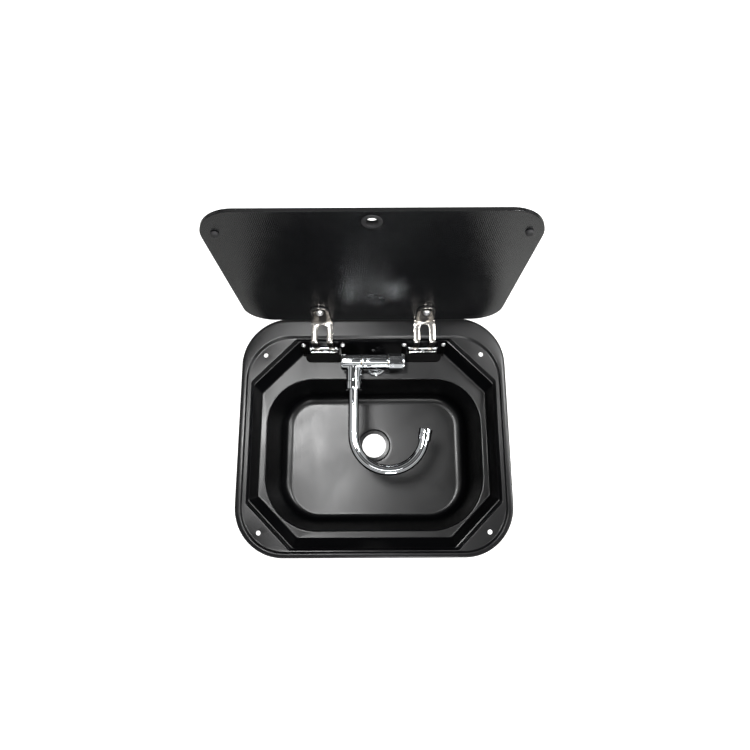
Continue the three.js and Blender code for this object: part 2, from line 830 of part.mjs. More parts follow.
// Gooseneck strap, drawn standing open: up from the pin, back over the rim's land, then up the
// face of the glass as a tab with a round end. A window splits its lower part into two legs.
function hingeArm() {
  const lean = radians(openAngle - 90);
  const glassUp = new THREE.Vector3(0, Math.sin(lean), Math.cos(lean));
  const glassFront = acrossWall.clone().cross(glassUp);
  const bridgeZ = crestHeight + gap + strapThickness / 2 - pinZ;
  const tabMiddle = tabTop - strapThickness / 2;
  const cornerY = (tabMiddle + bridgeZ * glassUp.y) / glassUp.z;
  const toHingeEdge = glassBeyondPin - bridgeZ * glassUp.z - cornerY * glassUp.y;
  const boltAt = toHingeEdge + clampInset;
  const line = [
    [0, pinRadius + gap + strapThickness / 2],
    [0, bridgeZ],
    [cornerY, bridgeZ],
    [cornerY + strapShoulder * glassUp.y, bridgeZ + strapShoulder * glassUp.z],
  ].map(([y, z]) => new THREE.Vector2(y, z));
  const half = strapWidth / 2;
  const window = strapWindow / 2;
  const tab = new THREE.Shape();
  tab.moveTo(-tabWidth / 2, strapShoulder - 1);
  tab.lineTo(tabWidth / 2, strapShoulder - 1);
  tab.absarc(0, boltAt, tabWidth / 2, 0, Math.PI);
  tab.closePath();
  withHole(tab, clampBolt + gap, 0, boltAt);
  const onGlass = new THREE.Matrix4().makeBasis(acrossWall, glassUp, glassFront);
  onGlass.setPosition(0, cornerY, bridgeZ);
  const solid = join(
    sideways(bentStrip(line, strapBend, strapThickness), -half, half),
    prism(tab, -strapThickness / 2, strapThickness / 2).applyMatrix4(onGlass),
    alongX(ring(pinRadius + gap, knuckleRadius, -half, half)),
  );
  const arch = cornerY - strapArch - window;
  const below = -knuckleRadius - 1;
  const open = cut(
    solid,
    box(-window, window, below, arch, below, bridgeZ + strapBend),
    rod(window, bridgeZ - strapBend, bridgeZ + strapBend).translate(0, arch, 0),
  );
  return geometryOf(open).rotateX(radians(openAngle));
}

// Soft pad between the strap's tab and the glass.
function glassPad() {
  const half = tabWidth / 2 - gap;
  const edge = -glassBeyondPin - clampPadEdge;
  const outline = new THREE.Shape();
  outline.moveTo(half, edge);
  outline.lineTo(-half, edge);
  outline.absarc(0, clampY, half, Math.PI, 2 * Math.PI);
  outline.closePath();
  withHole(outline, clampBolt + gap, 0, clampY);
  return prism(outline, tabTop + gap, tabTop + gap + clampPad);
}

function lidBolt() {
  const seat = tabTop - strapThickness - gap;
  const tip = nutSeat + capNutHeight - capNutRoof - gap;
  return turned([
    [0, seat - boltHeadHeight], [boltHeadRadius * 0.6, seat - boltHeadHeight],
    [boltHeadRadius, seat - boltHeadHeight * 0.35], [boltHeadRadius, seat],
    [clampBolt, seat], [clampBolt, tip], [0, tip],
  ]);
}

function capNut() {
  const top = nutSeat + capNutHeight;
  const waist = capNutFlats / 2;
  const dome = turned([
    [0, nutSeat], [waist, nutSeat], [waist, nutSeat + capNutHeight * 0.6],
    [waist * 0.72, top - 1], [waist * 0.4, top], [0, top],
  ]);
  const flats = prism(hexagon(capNutFlats), nutSeat, nutSeat + capNutHeight / 2);
  const bore = rod(clampBolt + gap, nutSeat - 1, top - capNutRoof, smallRound);
  return geometryOf(cut(join(flats, dome), bore));
}

function lidBumper() {
  const foot = sheet + gap - pinZ;
  const top = glassOverPin - gap;
  return turned([
    [0, foot], [bumperRadius * 0.8, foot], [bumperRadius, top], [0, top],
  ], smallRound);
}

function addLid(root) {
  const lid = addGroup(root, 0, pinY, pinZ);
  lid.rotation.x = -radians(openAngle);
  addMesh(lid, "glass_lid", glassLid(), smokedGlass);
  const grommet = addMesh(lid, "finger_grommet", fingerGrommet(), rubber);
  grommet.position.y = freeEdge + fingerHoleInset;
  for (const [side, sign] of [["left", -1], ["right", 1]]) {
    const x = sign * hingeX;
    const washer = ring(clampBolt + gap, clampWasherRadius, glassTop + gap, nutSeat - gap);
    addMesh(lid, `hinge_arm_${side}`, hingeArm(), polishedSteel).position.x = x;
    addMesh(lid, `glass_pad_${side}`, glassPad(), rubber).position.x = x;
    addMesh(lid, `lid_bolt_${side}`, lidBolt(), polishedSteel).position.set(x, clampY, 0);
    addMesh(lid, `lid_washer_${side}`, washer, rubber).position.set(x, clampY, 0);
    addMesh(lid, `lid_cap_nut_${side}`, capNut(), polishedSteel).position.set(x, clampY, 0);
    const bumper = addMesh(lid, `lid_bumper_${side}`, lidBumper(), rubber);
    bumper.position.set(sign * bumperX, bumperY - pinY, 0);
  }
}

// ---------------------------------------------------------------- tap body and plumbing

const gasketBottom = -ledgeDepth + gap;
const flangeBottom = gasketBottom + gasketThickness + gap;
const columnBottom = flangeBottom - tapZ;
const cartridgeEnd = bodyRight - cartridgeLength;
const spindleEnd = bodyRight + spindleOutside;

function tapBody() {
  const barrel = turned([
    [0, bodyLeft], [tapRadius - edgeChamfer, bodyLeft], [tapRadius, bodyLeft + edgeChamfer],
    [tapRadius, bodyRight - edgeChamfer], [tapRadius - edgeChamfer, bodyRight],
    [0, bodyRight],
  ], fineRound);
  const column = rod(columnRadius, columnBottom, 0).translate(tapX, 0, 0);
  const socket = rod(shankRadius + gap, columnBottom - 1, columnBottom + shankSocket);
  return geometryOf(cut(
    join(alongX(barrel), column),
    alongX(rod(cartridgeRadius + gap, cartridgeEnd, bodyRight + 1)),
    alongX(rod(journalRadius + gap, bodyLeft - 1, bodyLeft + journalInBody)),
    alongX(rod(journalBore, bodyLeft, cartridgeEnd + 1, smallRound)),
    socket.translate(tapX, 0, 0),
    rod(shankBore, columnBottom, 0, smallRound).translate(tapX, 0, 0),
  ));
}

function baseFlange() {
  const inner = columnRadius + gap;
  const top = flangeBottom + flangeHeight;
  return turned([
    [inner, flangeBottom], [flangeRadius, flangeBottom],
    [flangeRadius, flangeBottom + flangeHeight * 0.35],
    [flangeRadius - 1, flangeBottom + flangeHeight * 0.7], [inner + 2, top], [inner, top],
    [inner, flangeBottom],
  ], fineRound);
}

function hoseTail() {
  const top = shankEnd - gap;
  const under = top - tailFlangeHeight;
  const end = top - tailLength;
  const profile = [[tailBore, top], [tailBore, end], [tailRadius, end]];
  for (let i = 0; i < tailBarbs; i++) {
    const foot = end + i * tailBarbPitch;
    profile.push([tailBarb, foot + tailBarbPitch * 0.7], [tailRadius, foot + tailBarbPitch]);
  }
  profile.push(
    [tailRadius, under], [tailFlangeRadius, under], [tailFlangeRadius, top], [tailBore, top],
  );
  return turned(profile, smallRound);
}

function unionNut() {
  const seat = shankEnd - 2 * gap - tailFlangeHeight;
  const bottom = seat - unionLip;
  const top = shankEnd + unionCover;
  return geometryOf(cut(
    solidOf(prism(hexagon(unionFlats), bottom, top)),
    rod(shankRadius + gap, seat, top + 1),
    rod(tailBarb + gap, bottom - 1, seat + 1),
  ));
}

function valveCartridge() {
  const start = cartridgeEnd + gap;
  const end = bodyRight - cartridgeNutLength - gap;
  const grooveStart = start + cartridgeGroove;
  const grooveEnd = grooveStart + ringGrooveWidth;
  const inner = spindleRadius + gap;
  return turned([
    [inner, start], [cartridgeRadius, start], [cartridgeRadius, grooveStart],
    [cartridgeRadius - ringGroove, grooveStart], [cartridgeRadius - ringGroove, grooveEnd],
    [cartridgeRadius, grooveEnd], [cartridgeRadius, end], [inner, end], [inner, start],
  ]);
}

// Fixed hollow spigot that the head turns on; two ports let the water out.
function swivelJournal() {
  const start = bodyLeft + journalInBody - gap;
  const tip = journalShoulder - headWeb - 2 * gap - journalNutHeight;
  const groove = journalRadius - ringGroove;
  const profile = [[0, start], [journalRadius, start]];
  for (const place of journalRings) {
    const [right, left] = [place + ringGrooveWidth / 2, place - ringGrooveWidth / 2];
    profile.push([journalRadius, right], [groove, right], [groove, left], [journalRadius, left]);
  }
  profile.push([journalRadius, journalShoulder], [journalThread, journalShoulder]);
  profile.push([journalThread, tip], [0, tip]);
  const port = () => rod(journalPort, 0, journalRadius + 1, smallRound);
  return geometryOf(cut(
    solidOf(alongX(turned(profile.reverse()))),
    alongX(rod(journalBore, socketX - journalPort, start + 1, smallRound)),
    alongFront(port()).translate(socketX, 0, 0),
    port().translate(socketX, 0, 0),
  ));
}

function addTapBody(root) {
  const under = addGroup(root, tapX, tapY, 0);
  const bore = shankRadius + gap;
  const gasketTop = gasketBottom + gasketThickness;
  const gasket = ring(bore, flangeRadius - 1, gasketBottom, gasketTop);
  const shankTop = flangeBottom + shankSocket - gap;
  const washerTop = -ledgeDepth - sheet - gap;
  const washerBottom = washerTop - shankWasherThickness;
  const nutTop = washerBottom - gap;
  const nutOutline = withHole(hexagon(shankNutFlats), bore);
  const nut = prism(nutOutline, nutTop - shankNutHeight, nutTop, 8);
  addMesh(under, "tap_base_flange", baseFlange(), chrome);
  addMesh(under, "tap_base_gasket", gasket, rubber);
  addMesh(under, "tap_shank", ring(shankBore, shankRadius, shankEnd, shankTop), brass);
  addMesh(under, "shank_washer", ring(bore, shankWasherRadius, washerBottom, washerTop), rubber);
  addMesh(under, "shank_nut", nut, brass);
  addMesh(under, "hose_tail", hoseTail(), brass);
  addMesh(under, "hose_union_nut", unionNut(), brass);

  const valve = addGroup(root, 0, tapY, tapZ);
  const groove = cartridgeRadius - ringGroove;
  const sealAt = cartridgeEnd + gap + cartridgeGroove + ringGrooveWidth / 2;
  const cartridgeSeal = sealingRing(groove, cartridgeRadius + gap, sealAt);
  const cartridgeNut = ring(
    spindleRadius + gap, cartridgeRadius, bodyRight - cartridgeNutLength, bodyRight,
  );
  const nutRight = journalShoulder - headWeb - gap;
  const journalNut = withHole(hexagon(journalNutFlats), journalThread + gap);
  addMesh(valve, "tap_body", tapBody(), chrome);
  addMesh(valve, "valve_cartridge", alongX(valveCartridge()), brass);
  addMesh(valve, "cartridge_o_ring", alongX(cartridgeSeal), rubber);
  addMesh(valve, "cartridge_nut", alongX(cartridgeNut), brass);
  addMesh(valve, "swivel_journal", swivelJournal(), brass);
  const journalNutSolid = prism(journalNut, nutRight - journalNutHeight, nutRight, 8);
  addMesh(valve, "journal_nut", alongX(journalNutSolid), brass);
  journalRings.forEach((place, i) => {
    const seal = sealingRing(journalRadius - ringGroove, journalRadius + gap, place);
    addMesh(valve, `journal_o_ring_${i + 1}`, alongX(seal), rubber);
  });
}

// ---------------------------------------------------------------- knob

// Everything that turns when the tap is opened.
function addKnob(root) {
  const group = addGroup(root, 0, tapY, tapZ);
  const start = bodyRight + knobStart;
  const end = start + knobLength;
  const band = end - knobEndBand;
  const floor = end - knobRecessDepth;
  const seat = floor + gap;
  const screwTip = seat - knobScrewLength;
  const shell = cut(
    join(
      rod(knobFlangeRadius, start, start + knobFlange, fineRound),
      prism(regularOutline(knobFacets, knobRadius), start + knobFlange / 2, end - knobEndBand / 2),
      rod(knobRadius, band, end, fineRound),
    ),
    rod(spindleRadius + gap, start - 1, spindleEnd + gap),
    rod(knobScrewRadius + gap, start, end, smallRound),
    rod(knobRecess, floor, end + 1),
  );
  const cap = rod(knobRecess - gap, end - gap - knobCap, end - gap);
  const screw = turned([
    [0, screwTip], [knobScrewRadius, screwTip], [knobScrewRadius, seat], [knobScrewHead, seat],
    [knobScrewHead * 0.8, seat + knobScrewHeadHeight], [0, seat + knobScrewHeadHeight],
  ], smallRound);
  const spindle = cut(
    solidOf(rod(spindleRadius, bodyRight - spindleInside, spindleEnd, smallRound)),
    rod(knobScrewRadius + gap, screwTip - gap, end, smallRound),
  );
  addMesh(group, "knob", alongX(geometryOf(shell)), chrome);
  addMesh(group, "knob_end_cap", alongX(cap), chrome);
  addMesh(group, "knob_screw", alongX(screw), polishedSteel);
  addMesh(group, "valve_spindle", alongX(geometryOf(spindle)), brass);
}

// ---------------------------------------------------------------- head and spout

// Shapes about Z, turned to lie along the spout's socket.
const forward = (geometry) => alongFront(geometry).translate(socketX, 0, 0);

function swivelHead() {
  const barrel = turned([
    [0, headLeft], [tapRadius, headLeft], [tapRadius, headRight - edgeChamfer],
    [tapRadius - edgeChamfer, headRight], [0, headRight],
  ], fineRound);
  const neckStart = socketLength - socketNeckLength;
  const socket = turned([
    [0, 0], [socketRadius, 0], [socketRadius, neckStart], [socketNeck, neckStart],
    [socketNeck, socketLength], [0, socketLength],
  ]);
  const bore = pipeRadius + gap;
  const ringHalf = spoutRingGroove / 2 + gap;
  return geometryOf(cut(
    join(alongX(barrel), forward(socket)),
    alongX(rod(journalRadius + gap, journalShoulder - gap, headRight + 1)),
    alongX(rod(journalThread + gap, headLeft - 1, journalShoulder)),
    alongX(rod(nutPocket, headLeft - 1, journalShoulder - headWeb)),
    forward(rod(journalPort, 0, pipeStart, smallRound)),
    forward(rod(bore, pipeStart - gap, socketLength + 1)),
    forward(rod(bore + spoutRingGroove, spoutRingPlace - ringHalf, spoutRingPlace + ringHalf)),
  ));
}

function endCap() {
  const face = headLeft - gap;
  const outer = face - endCapThickness;
  const spigot = nutPocket - gap;
  return turned([
    [0, outer], [endCapRadius - edgeChamfer, outer], [endCapRadius, outer + edgeChamfer],
    [endCapRadius, face], [spigot, face], [spigot, face + endCapSpigot],
    [0, face + endCapSpigot],
  ], fineRound);
}

// Nut on the socket's neck that traps the pipe's bush.
function spoutCollar() {
  const start = socketLength - socketNeckLength + gap;
  const shoulder = socketLength + bushLength + 2 * gap;
  const end = shoulder + collarLip;
  const [wide, bore] = [socketNeck + gap, pipeRadius + gap];
  return turned([
    [wide, start], [collarRadius, start], [collarRadius, end - edgeChamfer],
    [collarRadius - edgeChamfer, end], [bore, end], [bore, shoulder], [wide, shoulder],
    [wide, start],
  ]);
}

// The curve of the spout from the end of its straight part, hooking round to the right.
class Hook extends THREE.Curve {
  getPoint(t, target = new THREE.Vector3()) {
    const angle = Math.PI + t * radians(hookSweep);
    const x = hookRadius + hookRadius * Math.cos(angle);
    return target.set(x, hookRadius * Math.sin(angle) - pipeStraight, 0);
  }
}

const hookEnd = new Hook().getPoint(1);
const tailWay = new THREE.Vector3(
  Math.sin(radians(180 - hookSweep)), Math.cos(radians(180 - hookSweep)), 0,
);

function spoutPipe() {
  const path = new THREE.CurvePath();
  path.add(new THREE.LineCurve3(
    new THREE.Vector3(0, -pipeStart, 0), new THREE.Vector3(0, -pipeStraight, 0),
  ));
  path.add(new Hook());
  path.add(new THREE.LineCurve3(
    hookEnd.clone(), hookEnd.clone().addScaledVector(tailWay, pipeTail),
  ));
  const section = regularOutline(pipeSides, pipeRadius);
  const bore = regularOutline(pipeSides, pipeRadius - pipeWall).getPoints().reverse();
  section.holes.push(new THREE.Path(bore));
  return new THREE.ExtrudeGeometry(section, { extrudePath: path, steps: 26 });
}

// A shape about Z, set on the tail of the spout with Z along it.
function onTail(geometry) {
  const turn = new THREE.Quaternion().setFromUnitVectors(new THREE.Vector3(0, 0, 1), tailWay);
  const place = new THREE.Matrix4().makeRotationFromQuaternion(turn).setPosition(hookEnd);
  return geometry.applyMatrix4(place);
}

function aeratorHousing() {
  const inner = pipeRadius + gap;
  return onTail(turned([
    [inner, 0], [aeratorRadius - edgeChamfer, 0], [aeratorRadius, edgeChamfer],
    [aeratorRadius, aeratorLength], [inner, aeratorLength], [inner, 0],
  ]));
}

function aeratorInsert() {
  const end = aeratorLength - gap;
  const holes = [];
  for (let i = 0; i < insertHoles; i++) {
    const angle = (2 * Math.PI * i) / insertHoles;
    const [x, y] = [insertCircle * Math.cos(angle), insertCircle * Math.sin(angle)];
    holes.push(rod(insertHole, 0, aeratorLength + 1, 8).translate(x, y, 0));
  }
  const disc = solidOf(rod(pipeRadius, end - insertLength, end));
  return onTail(geometryOf(cut(disc, ...holes)));
}

function addHead(root) {
  const head = addGroup(root, 0, tapY, tapZ);
  const seal = sealingRing(pipeRadius, pipeRadius + gap + spoutRingGroove, spoutRingPlace);
  addMesh(head, "swivel_head", swivelHead(), chrome);
  addMesh(head, "head_end_cap", alongX(endCap()), chrome);
  addMesh(head, "spout_collar", forward(spoutCollar()), chrome);
  addMesh(head, "spout_o_ring", forward(seal), rubber);

  const spout = addGroup(head, socketX, 0, 0);
  const bushStart = socketLength + gap;
  const bush = ring(pipeRadius + gap, socketNeck, bushStart, bushStart + bushLength);
  addMesh(spout, "spout_pipe", spoutPipe(), chrome);
  addMesh(spout, "spout_bush", alongFront(bush), whitePlastic);
  addMesh(spout, "aerator_housing", aeratorHousing(), chrome);
  addMesh(spout, "aerator_insert", aeratorInsert(), whitePlastic);
}

// ---------------------------------------------------------------- assembly

const sink = new THREE.Group();
addMesh(sink, "sink_bowl", sinkBowl(), blackSteel);
addMesh(sink, "rim_seal", rimSeal(), rubber);
addHingeFeet(sink);
addHingePins(sink);
addLid(sink);
addTapBody(sink);
addKnob(sink);
addHead(sink);

export default sink;
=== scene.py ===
import math

import bmesh
import bpy
from mathutils import Matrix, Vector


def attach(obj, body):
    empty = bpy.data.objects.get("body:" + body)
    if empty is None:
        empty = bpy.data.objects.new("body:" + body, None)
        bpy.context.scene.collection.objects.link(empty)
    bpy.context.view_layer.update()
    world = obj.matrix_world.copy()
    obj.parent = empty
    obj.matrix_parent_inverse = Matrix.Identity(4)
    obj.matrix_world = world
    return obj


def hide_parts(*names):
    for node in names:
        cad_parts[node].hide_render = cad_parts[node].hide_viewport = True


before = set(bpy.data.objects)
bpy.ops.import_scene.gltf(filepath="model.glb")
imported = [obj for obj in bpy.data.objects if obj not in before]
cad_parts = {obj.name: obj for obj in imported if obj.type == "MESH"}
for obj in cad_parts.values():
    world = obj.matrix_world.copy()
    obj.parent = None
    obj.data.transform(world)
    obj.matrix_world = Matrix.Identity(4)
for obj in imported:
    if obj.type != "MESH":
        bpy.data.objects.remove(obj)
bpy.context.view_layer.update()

# A caravan sink: pressed black basin, smoked glass lid standing open on two gooseneck hinges, and
# a folding chrome tap. Lengths are in millimetres, and solid_mesh() scales each finished shape to
# metres. The lamps and the floor's reach are in metres.
scene = bpy.context.scene
mm = 0.001


# ---------------------------------------------------------------- room and camera
# The sink stands on a plain pale floor, seen from almost straight above. The key lamp hangs a
# little to its rear left. Weaker ones hang at its right, lower beside it, over its front edge and
# low in front.

def colour(code):
    """An sRGB hex value as a linear colour."""
    parts = [int(code[i:i + 2], 16) / 255 for i in (1, 3, 5)]
    return [p / 12.92 if p < 0.04045 else ((p + 0.055) / 1.055) ** 2.4 for p in parts] + [1]


def add_node(tree, kind, inputs=None, **settings):
    """A node with its settings, whose inputs are values or other nodes' outputs."""
    node = tree.nodes.new(kind)
    for name, value in settings.items():
        setattr(node, name, value)
    for name, value in (inputs or {}).items():
        if isinstance(value, bpy.types.NodeSocket):
            tree.links.new(value, node.inputs[name])
        else:
            node.inputs[name].default_value = value
    return node


camera_data = bpy.data.cameras.new("camera")
camera_data.sensor_width = 36
camera_data.lens = 23.07
camera = bpy.data.objects.new("camera", camera_data)
camera.location = (2.87 * mm, -69.44 * mm, 749.57 * mm)
camera.rotation_euler = [math.radians(a) for a in (12.081, 0.091, -0.265)]
scene.collection.objects.link(camera)
scene.camera = camera
scene.view_settings.view_transform = "Standard"


def soft_lamp(name, spot, wide, deep, radiance):
    """An elliptical softbox that faces the basin. Its power follows from its area and radiance."""
    data = bpy.data.lights.new(name, "AREA")
    data.shape = "ELLIPSE"
    data.size, data.size_y = wide, deep
    area = math.pi / 4 * wide * deep
    data.energy = radiance * math.pi * area
    lamp = bpy.data.objects.new(name, data)
    lamp.location = spot
    lamp.rotation_euler = (Vector((0, 0, 0)) - lamp.location).to_track_quat("-Z", "Y").to_euler()
    lamp.visible_camera = False
    scene.collection.objects.link(lamp)


soft_lamp("key_softbox", (-0.2, 0.1, 1.05), 0.2, 0.2, 72.0)
soft_lamp("right_softbox", (0.62, 0.26, 0.95), 0.3, 0.3, 30.0)
soft_lamp("side_softbox", (1.05, -0.05, 0.72), 0.35, 0.35, 20.0)
soft_lamp("middle_softbox", (0.0, -0.3, 1.05), 0.42, 0.1, 9.0)
soft_lamp("front_softbox", (0.1, -1.0, 0.45), 0.3, 0.3, 22.0)

# Mirrors see a studio in soft tiers of light above a grey horizon, matt surfaces see little of
# it, and the camera sees plain white.
world = bpy.data.worlds.new("studio")
world.use_nodes = True
scene.world = world
tree = world.node_tree
tree.nodes.clear()
ray = add_node(tree, "ShaderNodeLightPath")
way = add_node(tree, "ShaderNodeTexCoord")
height = add_node(tree, "ShaderNodeSeparateXYZ", {0: way.outputs["Generated"]})
tiers = add_node(tree, "ShaderNodeTexWave", {"Vector": way.outputs["Generated"], "Scale": 0.7},
                 bands_direction="Z")
darkest_tier, brightest_tier, horizon, room_fill = 0.08, 0.75, 0.5, 0.1
ceiling = add_node(tree, "ShaderNodeMapRange", {
    "Value": tiers.outputs["Fac"], "From Min": 0.3, "From Max": 0.8, "To Min": darkest_tier,
    "To Max": brightest_tier})
low = add_node(tree, "ShaderNodeMapRange", {
    "Value": height.outputs["Z"], "From Min": 0.1, "From Max": 0.25, "To Min": 1, "To Max": 0})
dome = add_node(tree, "ShaderNodeMix", {0: low.outputs[0], 2: ceiling.outputs[0], 3: horizon})
mirrored = add_node(tree, "ShaderNodeMix", {0: ray.outputs["Is Glossy Ray"], 2: room_fill,
                                            3: dome.outputs[0]})
direct = add_node(tree, "ShaderNodeMath", {0: ray.outputs["Is Camera Ray"],
                                           1: ray.outputs["Is Transmission Ray"]},
                  operation="MAXIMUM")
strength = add_node(tree, "ShaderNodeMix", {0: direct.outputs[0], 2: mirrored.outputs[0], 3: 1.0})
sky = add_node(tree, "ShaderNodeBackground", {"Color": (1, 1, 1, 1),
                                              "Strength": strength.outputs[0]})
add_node(tree, "ShaderNodeOutputWorld", {"Surface": sky.outputs[0]})

# The floor lies just under the bowl and runs past the edge of every view.
floor_height, floor_reach = -151.5, 20.0
floor_mesh = bpy.data.meshes.new("floor")
floor_mesh.from_pydata(
    [(x * floor_reach, y * floor_reach, floor_height * mm)
     for x, y in ((-1, -1), (1, -1), (1, 1), (-1, 1))],
    [], [(0, 1, 2, 3)])
floor = bpy.data.objects.new("floor", floor_mesh)
scene.collection.objects.link(floor)


def new_material(name):
    """A material with an empty tree, and its Object coordinates."""
    material = bpy.data.materials.new(name)
    material.use_nodes = True
    tree = material.node_tree
    tree.nodes.clear()
    return material, tree, add_node(tree, "ShaderNodeTexCoord").outputs["Object"]


paper, tree, at = new_material("pale_floor")
ray = add_node(tree, "ShaderNodeLightPath")
floor_glow = 0.92
grain = add_node(tree, "ShaderNodeTexNoise", {"Vector": at, "Scale": 30.0})
tone = add_node(tree, "ShaderNodeMix", {0: grain.outputs["Fac"], 6: colour("#dcdcda"),
                                        7: colour("#e4e4e2")}, data_type="RGBA")
matt = add_node(tree, "ShaderNodeBsdfDiffuse", {"Color": tone.outputs[2]})
seen = add_node(tree, "ShaderNodeMath", {0: ray.outputs["Is Camera Ray"],
                                         1: ray.outputs["Is Transmission Ray"]},
                operation="MAXIMUM")
level = add_node(tree, "ShaderNodeMath", {0: seen.outputs[0], 1: floor_glow},
                 operation="MULTIPLY")
glow = add_node(tree, "ShaderNodeEmission", {"Strength": level.outputs[0]})
both = add_node(tree, "ShaderNodeAddShader", {0: matt.outputs[0], 1: glow.outputs[0]})
add_node(tree, "ShaderNodeOutputMaterial", {"Surface": both.outputs[0]})
floor_mesh.materials.append(paper)


# ---------------------------------------------------------------- basin
# One sheet of 0.9 mm steel, pressed: a rim bead turned down to the worktop, a flat land along the
# rear, a gutter, an octagonal recess with a ledge, and the bowl. Satin black powder coat all over.

sheet = 0.9
rim_width, rim_depth, rim_corner = 420, 370, 76
hinge_x = 82.5
pocket_half, cheek_run = 25.5, 1.5
foot_corner = 119.3


def satin_black(name, tint, shade, smoothest, roughest, shaded_wall_sheen, flat_sheen):
    """Black coat on steel: a soft, even gloss over a very fine orange peel, with specks of dust and
    faint smears from handling that show only in the gloss. Its gloss is turned down on the steep
    walls, a painted shade that keeps them darker than the flats."""
    material, tree, at = new_material(name)
    peel_size = 1.3 * mm
    peel = add_node(tree, "ShaderNodeTexNoise", {
        "Vector": at, "Scale": 1 / peel_size, "Detail": 2.0})
    smear_size = 45 * mm
    smear = add_node(tree, "ShaderNodeTexNoise", {
        "Vector": at, "Scale": 1 / smear_size, "Detail": 6.0,
        "Roughness": 0.62, "Distortion": 0.6})
    speck_size = 5 * mm
    speck = add_node(tree, "ShaderNodeTexVoronoi", {
        "Vector": at, "Scale": 1 / speck_size})
    dust = add_node(tree, "ShaderNodeMapRange", {
        "Value": speck.outputs["Distance"], "From Min": 0.03, "From Max": 0.07,
        "To Min": 0.08, "To Max": 0.0})
    handled = add_node(tree, "ShaderNodeMapRange", {
        "Value": smear.outputs["Fac"], "From Min": 0.3, "From Max": 0.7,
        "To Min": smoothest, "To Max": roughest})
    rough = add_node(tree, "ShaderNodeMath", {0: handled.outputs[0], 1: dust.outputs[0]},
                     operation="ADD")
    tone = add_node(tree, "ShaderNodeMix", {
        0: smear.outputs["Fac"], 6: colour(tint), 7: colour(shade)}, data_type="RGBA")
    bump = add_node(tree, "ShaderNodeBump", {
        "Height": peel.outputs["Fac"], "Strength": 0.16, "Distance": 0.12 * mm})
    shape = add_node(tree, "ShaderNodeNewGeometry")
    lie = add_node(tree, "ShaderNodeSeparateXYZ", {0: shape.outputs["Normal"]})
    # Painted shade: the reflection is turned down on the steep walls by their slope, so they render
    # darker than the flats.
    slope_shaded_sheen = add_node(tree, "ShaderNodeMapRange", {
        "Value": lie.outputs["Z"], "From Min": 0.4, "From Max": 0.85,
        "To Min": shaded_wall_sheen, "To Max": flat_sheen})
    paint = add_node(tree, "ShaderNodeBsdfPrincipled", {
        "Base Color": tone.outputs[2], "Roughness": rough.outputs[0], "Metallic": 0.0,
        "IOR": 1.52, "Specular IOR Level": slope_shaded_sheen.outputs[0], "Normal": bump.outputs[0]})
    add_node(tree, "ShaderNodeOutputMaterial", {"Surface": paint.outputs[0]})
    return material


def bent(points, reaches, steps=4):
    """A path whose inner corners are rounded, each over its own reach."""
    path = [points[0]]
    for i in range(1, len(points) - 1):
        here = points[i]
        before, after = points[i - 1] - here, points[i + 1] - here
        reach = min(reaches[i], before.length * 0.48, after.length * 0.48)
        start = here + before.normalized() * reach
        end = here + after.normalized() * reach
        for k in range(steps + 1):
            t = k / steps
            path.append(start * (1 - t) ** 2 + here * (2 * t * (1 - t)) + end * t ** 2)
    path.append(points[-1])
    return path


def evenly(low, high, count):
    """Values from low to high, with so many equal steps between them."""
    return [low + (high - low) * i / count for i in range(count + 1)]


def in_pocket(x):
    """0 on the plain rear wall, 1 in the pocket behind a hinge, with the cheek between."""
    ease = 0.6
    t = (pocket_half + cheek_run + ease - abs(abs(x) - hinge_x)) / (cheek_run + 2 * ease)
    t = min(max(t, 0), 1)
    return t * t * (3 - 2 * t)


# Places along the rear wall, close together across both cheeks of a hinge's pocket.
cheek_out, cheek_in = pocket_half + cheek_run + 1, pocket_half - 1
pocket_flat, middle_out, middle_in = pocket_half - 6, 46, 8
rear_half = ([foot_corner] + evenly(hinge_x + cheek_out, hinge_x + cheek_in, 9)
             + evenly(hinge_x + pocket_flat, hinge_x - pocket_flat, 4)
             + evenly(hinge_x - cheek_in, hinge_x - cheek_out, 9)
             + evenly(middle_out, middle_in, 3))
rear_line = rear_half + [0] + [-x for x in reversed(rear_half)]
corner_steps = 28
side_steps = 10


def corner_points(start, end, centre, before, after, arc, soft, z):
    """A quarter arc, or a straight diagonal with softened ends, from start to end."""
    if arc:
        out, across = start - centre, end - centre
        turns = [math.pi / 2 * k / corner_steps for k in range(1, corner_steps)]
        spots = [centre + out * math.cos(a) + across * math.sin(a) for a in turns]
    else:
        along = (end - start).normalized()
        bend = corner_steps // 4
        spots = []
        for k in range(1, corner_steps):
            if k < bend:
                t = k / bend
                low, middle, high = start - before * soft, start, start + along * soft
            elif k > corner_steps - bend:
                t = (k - corner_steps + bend) / bend
                low, middle, high = end - along * soft, end, end + after * soft
            else:
                t = (k - bend) / (corner_steps - 2 * bend)
                low, high = start + along * soft, end - along * soft
                middle = (low + high) / 2
            spots.append(low * (1 - t) ** 2 + middle * (2 * t * (1 - t)) + high * t ** 2)
    return [Vector((s.x, s.y, z)) for s in spots]


